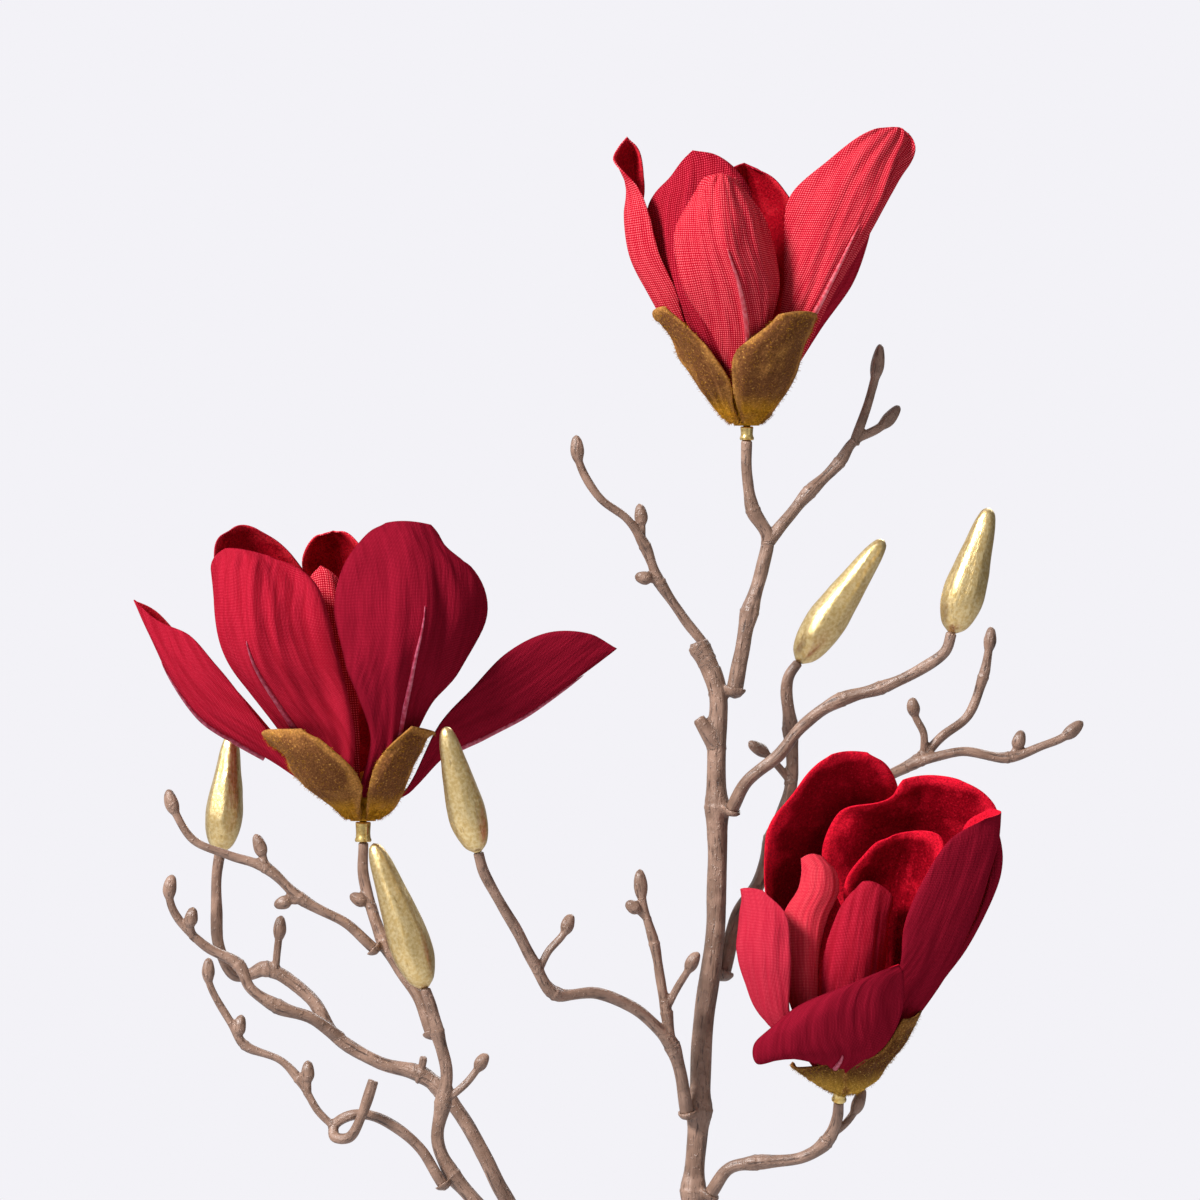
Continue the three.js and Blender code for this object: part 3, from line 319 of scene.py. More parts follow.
@dataclass(frozen=True)
class FlockedVelvet(Finish):
    """Short velvet pile, brighter where it is brushed, with a painted sheen at its rims. Along the piece it
    runs
    from its foot colour to its pile colour: a real gold foot on the sepals, painted shade at the foot of the
    petals, where the bloom is looked into.
    """

    name: str
    pile: int
    sheen_colour: int
    foot: int
    speck: int
    speckle: float = 0.7 * MM
    foot_length: float = 16 * MM
    sheen: float = 0.2

    def build(self, tree: Tree) -> dict[str, Any]:
        """Adds the pile's specks, the painted sheen on its rim and the change of colour up the piece, which
        paints shade at a petal's foot.
        """
        solid = coordinate(tree, "Object")
        along = add_node(tree, "ShaderNodeSeparateXYZ", {0: coordinate(tree, "UV")}).outputs["Y"]
        # The pile's real fibres are finer than can be seen. Their tufts are drawn instead.
        fuzz = noisy(tree, solid, 1 / self.speckle, 3.0, 0.75)
        brushed = noisy(tree, solid, 110.0, 3.0)
        # From the foot colour to the pile colour up the piece: a real gold foot on the sepals, painted shade
        # in the bloom's throat on the petals.
        climb = spread(tree, along, 0.2 * self.foot_length, self.foot_length)
        ground = mixed(tree, climb, srgb(self.foot), srgb(self.pile))
        # A painted sheen of the sheen colour on the leaf's rims, from its closeness to the edge.
        rim = spread(tree, attribute(tree, "edge", "Fac"), 0.72, 1.0)
        raised = combine(tree, "ADD", brushed, combine(tree, "MULTIPLY", rim, 0.36))
        lit = mixed(tree, spread(tree, raised, 0.5, 0.85), ground, srgb(self.sheen_colour))
        shaded = mixed(tree, 1.0, lit, remapped(tree, fuzz, (0.34, 0.66), (0.5, 1.3)), "MULTIPLY")
        return {
            "Base Color": mixed(tree, spread(tree, fuzz, 0.6, 0.72), shaded, srgb(self.speck)),
            "Normal": bumped(tree, fuzz, 0.4 * MM, 0.9),
            "Roughness": 0.85,
            "Specular IOR Level": 0.1,
            "Specular Tint": srgb(self.sheen_colour),
            "Sheen Weight": self.sheen,
            "Sheen Roughness": 0.3,
            "Sheen Tint": srgb(self.sheen_colour),
        }


@dataclass(frozen=True)
class MouldedBark(Finish):
    """Moulded plastic bark: grey-brown with darker wrinkles along the branch and a faint gloss."""

    name: str = "moulded_bark_plastic"
    light: int = 0x9E7E6C
    mid: int = 0x7E6252
    dark: int = 0x503C32
    wrinkle: float = 1.0 * MM
    pustule: float = 1.4 * MM

    def build(self, tree: Tree) -> dict[str, Any]:
        """Adds wrinkles along the branch, from the piece's own grain attribute."""
        grain = attribute(tree, "grain", "Vector")
        wrinkles = noisy(tree, drawn_out(tree, grain, (1.0, 1.0, 0.14)), 1 / self.wrinkle, 4.0, 0.65)
        blotch = noisy(tree, grain, 160.0, 3.0)
        pimples = spread(tree, noisy(tree, grain, 1 / self.pustule), 0.56, 0.7)
        ground = mixed(tree, spread(tree, blotch, 0.35, 0.7), srgb(self.mid), srgb(self.light))
        lined = bumped(tree, wrinkles, 0.45 * MM, 0.8)
        return {
            "Base Color": mixed(tree, spread(tree, wrinkles, 0.46, 0.32), ground, srgb(self.dark)),
            "Normal": bumped(tree, pimples, 0.3 * MM, 0.6, lined),
            "Roughness": remapped(tree, blotch, (0.0, 1.0), (0.26, 0.46)),
            "IOR": 1.5,
        }


@dataclass(frozen=True)
class GildedFoil(Finish):
    """Pale gold leaf rubbed over a moulded bud: satin and finely crinkled, with painted shade in brown in
    the creases.
    """

    name: str = "gilded_foil"
    light: int = 0xEED6A0
    mid: int = 0xD8B878
    crease_shade: int = 0x94703E
    crinkle: float = 1.6 * MM

    def build(self, tree: Tree) -> dict[str, Any]:
        """Adds the crinkles along the bud, the fine grain and the painted shade in the creases."""
        bud = attribute(tree, "grain", "Vector")
        crinkles = noisy(tree, drawn_out(tree, bud, (1.0, 1.0, 0.3)), 1 / self.crinkle, 5.0, 0.65)
        grain = noisy(tree, bud, 900.0)
        leaf = mixed(tree, spread(tree, grain, 0.3, 0.7), srgb(self.mid), srgb(self.light))
        # Painted shade: a brown in the low places of the crinkles, where the bump below sinks.
        crease_shade = combine(tree, "MULTIPLY", spread(tree, crinkles, 0.4, 0.28), 0.6)
        soft = bumped(tree, crinkles, 0.5 * MM, 0.55)
        return {
            "Base Color": mixed(tree, crease_shade, leaf, srgb(self.crease_shade)),
            "Normal": bumped(tree, grain, 0.1 * MM, 0.2, soft),
            "Metallic": 1.0,
            "Roughness": 0.36,
        }


@dataclass(frozen=True)
class GoldLacquer(Finish):
    """Gold-coated glossy plastic, as on the small sockets under the blooms."""

    name: str = "gold_lacquer"
    light: int = 0xE8CB84
    dark: int = 0xC49C50

    def build(self, tree: Tree) -> dict[str, Any]:
        """Adds the coat's slight unevenness."""
        wear = noisy(tree, coordinate(tree, "Object"), 600.0)
        return {
            "Base Color": mixed(tree, spread(tree, wear, 0.3, 0.6), srgb(self.dark), srgb(self.light)),
            "Normal": bumped(tree, wear, 0.08 * MM, 0.4),
            "Metallic": 0.9,
            "Roughness": 0.22,
        }


@dataclass(frozen=True)
class CutSteelWire(Finish):
    """Drawn steel wire with fine lines along it."""

    name: str = "cut_steel_wire"
    tone: int = 0x8C8C8A

    def build(self, tree: Tree) -> dict[str, Any]:
        """Adds the drawing lines."""
        lines = noisy(tree, drawn_out(tree, coordinate(tree, "Object"), (1.0, 1.0, 0.02)), 3000.0)
        return {
            "Base Color": srgb(self.tone),
            "Metallic": 1.0,
            "Roughness": remapped(tree, lines, (0.0, 1.0), (0.25, 0.5)),
        }


@dataclass(frozen=True)
class StudioPaper(Finish):
    """Pale grey matt paper under the stem, which keeps its shadow soft."""

    name: str = "studio_paper"
    tone: int = 0xCECED2

    def build(self, tree: Tree) -> dict[str, Any]:
        """Adds a faint mottle."""
        pale = remapped(tree, noisy(tree, coordinate(tree, "Object"), 3.0), (0.0, 1.0), (0.97, 1.0))
        return {"Base Color": mixed(tree, 1.0, srgb(self.tone), pale, "MULTIPLY"), "Roughness": 0.95}


def fine_silk(name: str, lit: int, streak_shade: int, glint: int, gap_shade: int, shine: float) -> WovenPolySilk:
    """The finer and flatter weave of the two darker blooms."""
    return WovenPolySilk(name, lit, streak_shade, glint, gap_shade, thread=0.5 * MM, shine=shine, relief=0.08 * MM)


class Dye(Enum):
    """The colours of a petal's outer cloth. Most are dyes; two entries also paint shade into the cloth."""

    CORAL = WovenPolySilk("woven_poly_silk_coral", 0xF04854, 0xD02236, 0xFC9AA0, 0xA41024)
    # A darker copy of the coral cloth, which paints shade on the top bloom's back-left petal.
    SCARLET = WovenPolySilk("woven_poly_silk_scarlet", 0xC8203A, 0xA81226, 0xE46472, 0x800A1A)
    ROSE = fine_silk("woven_poly_silk_rose", 0xD83A4E, 0xC0283E, 0xEA7684, 0xA81A30, 0.25)
    SALMON = fine_silk("woven_poly_silk_salmon", 0xF04A54, 0xD62E3E, 0xFA989E, 0xC02036, 0.3)
    CRIMSON = fine_silk("woven_poly_silk_crimson", 0xC8203A, 0x9E0E24, 0xE06474, 0x8C0C20, 0.3)
    # Partly the darker dye of these petals and partly painted shade, as they face away from the key light.
    WINE = fine_silk("woven_poly_silk_wine", 0x9E162E, 0x820E22, 0xB64256, 0x700C1E, 0.25)


# The dark foot colour of the two petal velvets is painted shade in the bloom's throat.
PETAL_VELVET = FlockedVelvet("red_velvet", pile=0x8A0616, sheen_colour=0xE41A32, foot=0x5E0410, speck=0xC42434)
DUSTY_VELVET = FlockedVelvet("dusty_red_velvet", pile=0xB00E20, sheen_colour=0xE82C3C, foot=0x5E0410, speck=0x8E3A38)
CALYX_VELVET = FlockedVelvet(
    "flocked_brown_velvet", pile=0x784C2C, sheen_colour=0xB07A40, foot=0xC48A22, speck=0xD8A850, sheen=0.3
)
GLITTER_VELVET = FlockedVelvet(
    "gold_glitter_velvet",
    pile=0x60391E,
    sheen_colour=0x8E6030,
    foot=0xC89A3C,
    speck=0xF0CC78,
    foot_length=20 * MM,
    sheen=0.3,
)
CORAL_RIDGE = GluedRidge("glued_ridge_coral", tone=0xE04656, pale=0xF07A84)
WINE_RIDGE = GluedRidge("glued_ridge_wine", tone=0xA82A46, pale=0xC65C74)
BARK = MouldedBark()
FOIL = GildedFoil()
LACQUER = GoldLacquer()
STEEL = CutSteelWire()


# Shapes


class Route:
    """A smooth centripetal curve through points, in whatever unit they have."""

    def __init__(self, points: Iterable[Sequence[float]]) -> None:
        """Keeps the curve's points.

        Args:
            points: the points that the curve passes through.
        """
        self.points = [np.array(point, dtype=float) for point in points]

    @property
    def spans(self) -> int:
        """How many stretches the curve has."""
        return len(self.points) - 1

    def point(self, share: float) -> np.ndarray:
        """The point at a share of the curve, each span counting the same."""
        place = min(max(share, 0.0), 1.0) * self.spans
        k = min(int(place), self.spans - 1)
        weight = place - k
        b, c = self.points[k], self.points[k + 1]
        a = self.points[k - 1] if k > 0 else 2 * b - c
        d = self.points[k + 2] if k + 2 <= self.spans else 2 * c - b
        ab, bc, cd = (math.sqrt(max(np.linalg.norm(q - p), 1e-9)) for p, q in ((a, b), (b, c), (c, d)))
        leave = ((b - a) / ab - (c - a) / (ab + bc) + (c - b) / bc) * bc
        reach = ((c - b) / bc - (d - b) / (bc + cd) + (d - c) / cd) * bc
        square, cube = weight**2, weight**3
        turn = (-3 * b + 3 * c - 2 * leave - reach) * square
        return b + leave * weight + turn + (2 * b - 2 * c + leave + reach) * cube

    def direction(self, share: float) -> np.ndarray:
        """The curve's direction at a share of it."""
        step = self.point(min(share + 1e-4, 1.0)) - self.point(max(share - 1e-4, 0.0))
        return step / np.linalg.norm(step)

    def evenly(self, shares: Sequence[float], fineness: int = 240) -> tuple[np.ndarray, np.ndarray, float]:
        """Places along the curve by length.

        Args:
            shares: shares of the length, from 0 to 1.
            fineness: how many short chords stand for the curve.

        Returns:
            The points, the directions and the whole length.
        """
        grid = np.linspace(0, 1, fineness + 1)
        chain = np.array([self.point(t) for t in grid])
        length = np.concatenate([[0.0], np.cumsum(np.linalg.norm(np.diff(chain, axis=0), axis=1))])
        places = np.interp(np.asarray(shares) * length[-1], length, grid)
        points = np.array([self.point(t) for t in places])
        directions = np.array([self.direction(t) for t in places])
        return points, directions, float(length[-1])


@dataclass
class Ring:
    """One cross-section of a stem."""

    centre: np.ndarray
    tangent: np.ndarray
    radius: float
    across: np.ndarray = field(default_factory=lambda: np.zeros(3))
    run: float = 0.0

    @property
    def beside(self) -> np.ndarray:
        """The direction square to the tangent and to across."""
        return np.cross(self.tangent, self.across)

    @property
    def matrix(self) -> Matrix:
        """Puts a unit circle on this cross-section."""
        sides = [side * self.radius for side in (self.across, self.beside, self.tangent)]
        rows = [[column[row] for column in (*sides, self.centre)] for row in range(3)]
        return Matrix([*rows, [0, 0, 0, 1]])


def link_mesh(name: str, shape: bmesh.types.BMesh, smooth: bool = True) -> bpy.types.Object:
    """Turns a bmesh into an object of the scene.

    Args:
        name: the object's name.
        shape: the mesh, which is freed.
        smooth: whether its faces are shaded smooth.

    Returns:
        The object, at the origin.
    """
    mesh = bpy.data.meshes.new(name)
    shape.to_mesh(mesh)
    shape.free()
    mesh.polygons.foreach_set("use_smooth", [smooth] * len(mesh.polygons))
    made = bpy.data.objects.new(name, mesh)
    bpy.context.scene.collection.objects.link(made)
    return made


def apply_modifiers(piece: bpy.types.Object) -> None:
    """Replaces an object's mesh by what its modifiers make of it."""
    graph = bpy.context.evaluated_depsgraph_get()
    graph.update()
    shaped = bpy.data.meshes.new_from_object(piece.evaluated_get(graph))
    shaped.name = piece.name
    piece.modifiers.clear()
    old = piece.data
    piece.data = shaped
    bpy.data.meshes.remove(old)


def sweep(shape: bmesh.types.BMesh, rings: Sequence[Ring], sides: int) -> None:
    """Extrudes a disc through cross-sections, as one closed tube.

    Args:
        shape: the bmesh to add to.
        rings: the cross-sections, in order.
        sides: the disc's sides.
    """
    made = bmesh.ops.create_circle(shape, cap_ends=True, segments=sides, radius=1.0, matrix=rings[0].matrix)
    face = made["verts"][0].link_faces[0]
    for before, after in zip(rings, rings[1:]):
        grown = bmesh.ops.extrude_face_region(shape, geom=[face])["geom"]
        face = next(item for item in grown if isinstance(item, bmesh.types.BMFace))
        corners = [item for item in grown if isinstance(item, bmesh.types.BMVert)]
        move = after.matrix @ before.matrix.inverted_safe()
        bmesh.ops.transform(shape, matrix=move, verts=corners)


def spun(profile: Sequence[tuple[float, float]], steps: int) -> bmesh.types.BMesh:
    """Spins a profile about Z into a closed solid.

    Args:
        profile: radius and height of each point, in metres, from axis to axis.
        steps: the steps of a full turn.

    Returns:
        The solid.
    """
    shape = bmesh.new()
    points = [shape.verts.new((radius, 0, height)) for radius, height in profile]
    edges = [shape.edges.new(pair) for pair in zip(points, points[1:])]
    bmesh.ops.spin(
        shape,
        geom=points + edges,
        cent=(0, 0, 0),
        axis=(0, 0, 1),
        angle=math.tau,
        steps=steps,
        use_merge=True,
    )
    bmesh.ops.remove_doubles(shape, verts=shape.verts, dist=WELD)
    bmesh.ops.recalc_face_normals(shape, faces=shape.faces)
    return shape


def along_axis(origin: np.ndarray, direction: np.ndarray) -> Matrix:
    """Puts something that stands on the origin along +Z onto a point, along a direction."""
    turn = Vector((0, 0, 1)).rotation_difference(Vector(direction)).to_matrix().to_4x4()
    return Matrix.Translation(Vector(origin)) @ turn


# Branches


class Tip(Enum):
    """How a stem ends."""

    CUT = "cut"
    LEAF_BUD = "leaf bud"
    PEG = "peg"


@dataclass
class Stem:
    """One tapered, knobbly stem."""

    route: Sequence[Point]
    start: float
    end: float
    knots: Sequence[int] = ()
    tip: Tip = Tip.LEAF_BUD
    node_swell: float = 0.3
    node_length: float = 4 * MM
    bud_swell: float = 0.7
    bud_tip: float = 0.3 * MM
    steps_per_span: int = 8

    def __post_init__(self) -> None:
        """Lifts the route to the part's frame."""
        self.curve = Route([(x * MM, y * MM, (z + SHANK_LENGTH) * MM) for x, y, z in self.route])
        self.start *= MM
        self.end *= MM
        self.nodes = [self.curve.points[k] for k in self.knots]

    @property
    def foot(self) -> np.ndarray:
        """Where the stem begins."""
        return self.curve.points[0]

    @property
    def head(self) -> np.ndarray:
        """Where the stem ends."""
        return self.curve.points[-1]

    @property
    def head_direction(self) -> np.ndarray:
        """Which way the stem points at its end."""
        return self.curve.direction(1.0)

    def radius_at(self, share: float) -> float:
        """The stem's radius at a share of its route, swollen at its nodes."""
        point = self.curve.point(share)
        swell = [math.exp(-((np.linalg.norm(point - node) / self.node_length) ** 2)) for node in self.nodes]
        return (self.start + (self.end - self.start) * share) * (1 + self.node_swell * max([0.0, *swell]))

    def shares(self) -> list[float]:
        """The places of the woody cross-sections."""
        woody = self.curve.spans - 1 if self.tip is Tip.LEAF_BUD else self.curve.spans
        found = []
        for k in range(woody):
            length = np.linalg.norm(self.curve.points[k + 1] - self.curve.points[k])
            steps = max(self.steps_per_span, int(length / (2 * MM)))
            found += [(k + j / steps) / self.curve.spans for j in range(steps)]
        return [*found, woody / self.curve.spans]

    def rings(self) -> list[Ring]:
        """The stem's cross-sections, with a leaf bud's if it ends in one."""
        made = [Ring(self.curve.point(s), self.curve.direction(s), self.radius_at(s)) for s in self.shares()]
        if self.tip is Tip.LEAF_BUD:
            spans = self.curve.spans
            for j in range(1, BUD_RINGS + 1):
                share = j / BUD_RINGS
                place = (spans - 1 + 0.9 * share) / spans
                bulge = math.sin(math.pi / 2 * min(1.0, share / 0.4))
                closing = math.sqrt(max(0.0, 1 - (max(0.0, share - 0.4) / 0.6) ** 1.6))
                swollen = self.end * (0.85 + self.bud_swell * bulge) * closing
                point, direction = self.curve.point(place), self.curve.direction(place)
                made.append(Ring(point, direction, swollen + self.bud_tip))
        across = np.array([0.0, 1.0, 0.0])
        run = 0.0
        for k, ring in enumerate(made):
            across = across - ring.tangent * np.dot(across, ring.tangent)
            across = across / np.linalg.norm(across)
            ring.across = across
            run += float(np.linalg.norm(ring.centre - made[k - 1].centre)) if k else 0.0
            ring.run = run
        return made


@dataclass
class Seat:
    """A ball seat in a moulding, for the round end of what plugs into it."""

    centre: np.ndarray
    direction: np.ndarray
    radius: float


@dataclass
class Moulding:
    """One branch moulding: a main stem, its side twigs and the knuckles round what plugs into it."""

    name: str
    body: str
    main: Stem
    twigs: Sequence[Stem] = ()
    parent: Moulding | None = None
    knot: int = 0
    voxel: float = 0.42 * MM
    seat_wall: float = 1.2 * MM
    seat_lip: float = 0.4 * MM
    peg_radius: float = 1.0 * MM
    peg_length: float = 4.0 * MM
    bark_depth: float = 0.38 * MM
    bark_width: float = 1.3 * MM
    scar_height: float = 0.13
    bore: tuple[float, float] | None = None
    seats: list[Seat] = field(default_factory=list)

    def __post_init__(self) -> None:
        """Moves the main stem's foot to its ball seat on the parent's side."""
        if self.parent is None:
            return
        trunk = self.parent.main
        share = self.knot / trunk.curve.spans
        tangent = trunk.curve.direction(share)
        side = self.main.curve.points[1] - trunk.curve.points[self.knot]
        side = side - tangent * np.dot(side, tangent)
        side = side / np.linalg.norm(side)
        reach = trunk.radius_at(share) + CLEARANCE * MM + self.main.start
        self.main.curve.points[0] = trunk.curve.points[self.knot] + side * reach
        self.parent.seats.append(Seat(self.main.foot, self.main.curve.direction(0.0), self.main.start))

    @property
    def peg_place(self) -> Matrix:
        """Puts what stands on the origin onto the shoulder of this moulding's peg."""
        way = self.main.head_direction
        return along_axis(self.main.head + way * CLEARANCE * MM, way)

    def raw_shape(self) -> tuple[bmesh.types.BMesh, list[Ring]]:
        """The stems, the round foot, the peg and the knuckles, still as separate closed forms.

        Returns:
            The shapes in one bmesh, and every stem's cross-sections.
        """
        shape = bmesh.new()
        found: list[Ring] = []
        for stem in (self.main, *self.twigs):
            rings = stem.rings()
            sweep(shape, rings, STEM_SIDES)
            found += rings
        if self.parent is not None:
            self.add_ball(shape, self.main.foot, self.main.start)
        if self.main.tip is Tip.PEG:
            root = self.main.head - self.main.head_direction * MM
            length = self.peg_length + MM
            place = along_axis(root + self.main.head_direction * length / 2, self.main.head_direction)
            self.add_rod(shape, PEG_SIDES, self.peg_radius, length, place)
        for seat in self.seats:
            self.add_knuckle(shape, seat)
        return shape, found

    @staticmethod
    def add_rod(shape: bmesh.types.BMesh, sides: int, radius: float, length: float, place: Matrix) -> None:
        """Adds a closed round rod, centred on a place and along its Z."""
        bmesh.ops.create_cone(
            shape, cap_ends=True, segments=sides, radius1=radius, radius2=radius, depth=length, matrix=place
        )

    @staticmethod
    def add_ball(shape: bmesh.types.BMesh, centre: np.ndarray, radius: float) -> list[bmesh.types.BMVert]:
        """Adds a ball and hands out its corners."""
        place = Matrix.Translation(Vector(centre))
        return bmesh.ops.create_icosphere(shape, subdivisions=3, radius=radius, matrix=place)["verts"]

    def add_knuckle(self, shape: bmesh.types.BMesh, seat: Seat) -> None:
        """Adds a half ball round a seat, open on the side that the branch leaves by.

        Args:
            shape: the bmesh to add to.
            seat: the ball seat.
        """
        verts = self.add_ball(shape, seat.centre, seat.radius + self.seat_wall)
        edges = list({edge for vert in verts for edge in vert.link_edges})
        geometry = verts + edges + list({face for vert in verts for face in vert.link_faces})
        lip = seat.centre - seat.direction * self.seat_lip
        cut = bmesh.ops.bisect_plane(
            shape, geom=geometry, plane_co=lip, plane_no=seat.direction, clear_outer=True
        )
        rim = [item for item in cut["geom_cut"] if isinstance(item, bmesh.types.BMEdge)]
        bmesh.ops.holes_fill(shape, edges=rim)

    def cutters(self) -> bmesh.types.BMesh:
        """What is cut out of the moulding: the cups of its ball seats and the bore for a core wire."""
        shape = bmesh.new()
        if self.bore:
            radius, length = self.bore
            place = Matrix.Translation(Vector(self.main.foot) + Vector((0, 0, length / 2 - MM)))
            self.add_rod(shape, WIRE_BORE_SIDES, radius, length + 2 * MM, place)
        for seat in self.seats:
            self.add_ball(shape, seat.centre, seat.radius + CLEARANCE * MM)
        return shape

    def make(self) -> bpy.types.Object:
        """Builds the moulding, roughens it as bark and dresses it.

        Returns:
            The finished piece.
        """
        shape, rings = self.raw_shape()
        piece = link_mesh(self.name + "_bark", shape)
        remesh = piece.modifiers.new("fused", "REMESH")
        remesh.mode = "VOXEL"
        remesh.voxel_size = self.voxel
        apply_modifiers(piece)
        self.roughen(piece, rings)
        cutter_shape = self.cutters()
        if len(cutter_shape.verts):
            cutter = link_mesh(self.name + "_cutter", cutter_shape)
            cups = piece.modifiers.new("cups", "BOOLEAN")
            cups.operation = "DIFFERENCE"
            cups.solver = "MANIFOLD"
            cups.object = cutter
            apply_modifiers(piece)
            bpy.data.objects.remove(cutter)
        else:
            cutter_shape.free()
        piece.data.polygons.foreach_set("use_smooth", [True] * len(piece.data.polygons))
        piece.data.materials.clear()
        piece.data.materials.append(BARK.material())
        settle(piece, self.body, "bark_plastic", self.name)
        return piece

    def roughen(self, piece: bpy.types.Object, rings: Sequence[Ring]) -> None:
        """Presses bark into the surface and stores the way along the branch for the material.

        Args:
            piece: the fused moulding.
            rings: every stem's cross-sections.
        """
        tree = kdtree.KDTree(len(rings))
        for k, ring in enumerate(rings):
            tree.insert(ring.centre, k)
        tree.balance()
        mesh = piece.data
        count = len(mesh.vertices)
        places = np.empty(count * 3)
        normals = np.empty(count * 3)
        mesh.vertices.foreach_get("co", places)
        mesh.vertex_normals.foreach_get("vector", normals)
        places, normals = places.reshape(-1, 3), normals.reshape(-1, 3)
        nearest = np.array([tree.find(place)[1] for place in places])
        kinds = ("centre", "across", "beside", "tangent", "run", "radius")
        centres, across, beside, tangents, runs, radii = (
            np.array([getattr(ring, kind) for ring in rings])[nearest] for kind in kinds
        )
        away = places - centres
        aside, behind, ahead = ((away * way).sum(1) for way in (across, beside, tangents))
        grain = np.stack([aside, behind, runs + ahead], axis=1)
        fine = grain / self.bark_width * np.array([1.0, 1.0, 0.13])
        broad = grain / (4.5 * self.bark_width) * np.array([1.0, 1.0, 0.5])
        lines = np.array([noise.noise(Vector(p)) for p in fine])
        lumps = np.array([noise.noise(Vector(p) + Vector((9, 4, 2))) for p in broad])
        depth = self.bark_depth * np.clip(radii / (2.6 * MM), 0.45, 1.3)
        shift = depth * (0.75 * lines + 0.9 * lumps) + self.scars(places)
        mesh.vertices.foreach_set("co", (places + normals * shift[:, None]).ravel())
        stored = mesh.attributes.new("grain", "FLOAT_VECTOR", "POINT")
        stored.data.foreach_set("vector", grain.astype(np.float32).ravel())
        mesh.update()

    def scars(self, places: np.ndarray) -> np.ndarray:
        """The thin raised rings that old leaves leave at each node.

        Args:
            places: the surface's points.

        Returns:
            How far each point is raised.
        """
        raised = np.zeros(len(places))
        for stem in (self.main, *self.twigs):
            for k, node in zip(stem.knots, stem.nodes):
                tangent = stem.curve.direction(k / stem.curve.spans)
                away = places - node
                height = away @ tangent
                near = np.linalg.norm(away - height[:, None] * tangent, axis=1) < 2.2 * stem.start
                groove = 0.6 * np.exp(-(((height - 1.1 * MM) / (0.6 * MM)) ** 2))
                raised += near * (np.exp(-((height / (0.5 * MM)) ** 2)) - groove) * self.scar_height * MM
        return raised


def settle(piece: bpy.types.Object, body: str, slot: str, *nodes: str) -> None:
    """Ties a finished piece to its body and to the CAD nodes that it stands for, which it hides.

    Args:
        piece: the finished piece.
        body: the body that it moves with.
        slot: the record's finish slot; not used.
        nodes: the CAD nodes that it replaces.
    """
    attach(piece, body)
    if nodes:
        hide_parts(*nodes)
    log.info("%s on %s, %d faces", piece.name, body, len(piece.data.polygons))


def dress(
    name: str, shape: bmesh.types.BMesh, place: Matrix, finish: Finish, body: str, slot: str, *nodes: str
) -> bpy.types.Object:
    """Moves a shape to its place and makes it a finished piece.

    Args:
        name: the piece's name.
        shape: the shape, which is freed.
        place: puts the shape in its place.
        finish: what it is made of.
        body: the body that it moves with.
        slot: the record's finish slot.
        nodes: the CAD nodes that it replaces.

    Returns:
        The finished piece.
    """
    bmesh.ops.transform(shape, matrix=place, verts=shape.verts)
    piece = link_mesh(name, shape)
    piece.data.materials.append(finish.material())
    settle(piece, body, slot, *nodes)
    return piece


# Gilded buds and sockets


@dataclass
class GildedBud:
    """A closed bud: a moulded drop with soft facets and a seam, bored for the peg that it is glued on."""

    name: str
    stem: Moulding
    length: float
    width: float
    lean: float
    seed: float
    facets: int = 7
    facet_depth: float = 0.025
    crumple_depth: float = 0.03
    crumple_size: float = 3.2 * MM
    seam_depth: float = 0.035
    seam_angle: float = 0.06

    RADIUS_SHARES = (0.2, 0.58, 0.88, 1, 0.88, 0.66, 0.47, 0.26, 0)
    HEIGHT_SHARES = (0, 0.05, 0.16, 0.3, 0.5, 0.72, 0.9, 0.98, 1.0)

    def profile(self) -> list[tuple[float, float]]:
        """The drop's outline with its bore, in metres."""
        shares = zip(self.RADIUS_SHARES, self.HEIGHT_SHARES)
        knots = [(radius * self.width / 2, 0.0, height * self.length) for radius, height in shares]
        points, _, _ = Route(knots).evenly(np.linspace(0, 1, 46))
        outside = [(max(float(p[0]), 0.0) * MM, float(p[2]) * MM) for p in points]
        outside[-1] = (0.0, outside[-1][1])
        depth = PEG_BORE_DEPTH * MM
        return [(0.0, depth), (PEG_BORE * MM, depth), (PEG_BORE * MM, 0.0), *outside]

    def make(self) -> bpy.types.Object:
        """Builds the bud on its stem's peg.

        Returns:
            The finished piece.
        """
        shape = spun(self.profile(), BUD_SIDES)
        aside = Vector((self.seed, 0, 0))
        for vert in shape.verts:
            if math.hypot(vert.co.x, vert.co.y) < (PEG_BORE + 0.05) * MM and vert.co.z < 5 * MM:
                continue
            height = vert.co.z / (self.length * MM)
            angle = math.atan2(vert.co.y, vert.co.x)
            facet = self.facet_depth * math.cos(self.facets * angle + self.seed + 1.5 * height)
            facet *= math.sin(math.pi * height)
            crumpled = Vector((vert.co.x, vert.co.y, 0.45 * vert.co.z)) / self.crumple_size + aside
            from_seam = math.remainder(angle - self.seed, math.tau) / self.seam_angle
            seam = -self.seam_depth * math.exp(-(from_seam**2))
            grow = 1 + facet + self.crumple_depth * noise.noise(crumpled) + seam
            vert.co.x *= grow
            vert.co.y *= grow
            vert.co.x += self.lean * MM * height * height
        grain = shape.verts.layers.float_vector.new("grain")
        for vert in shape.verts:
            vert[grain] = vert.co + aside
        place = self.stem.peg_place
        return dress(self.name + "_foil", shape, place, FOIL, self.stem.body, "gilded_bud", self.name)


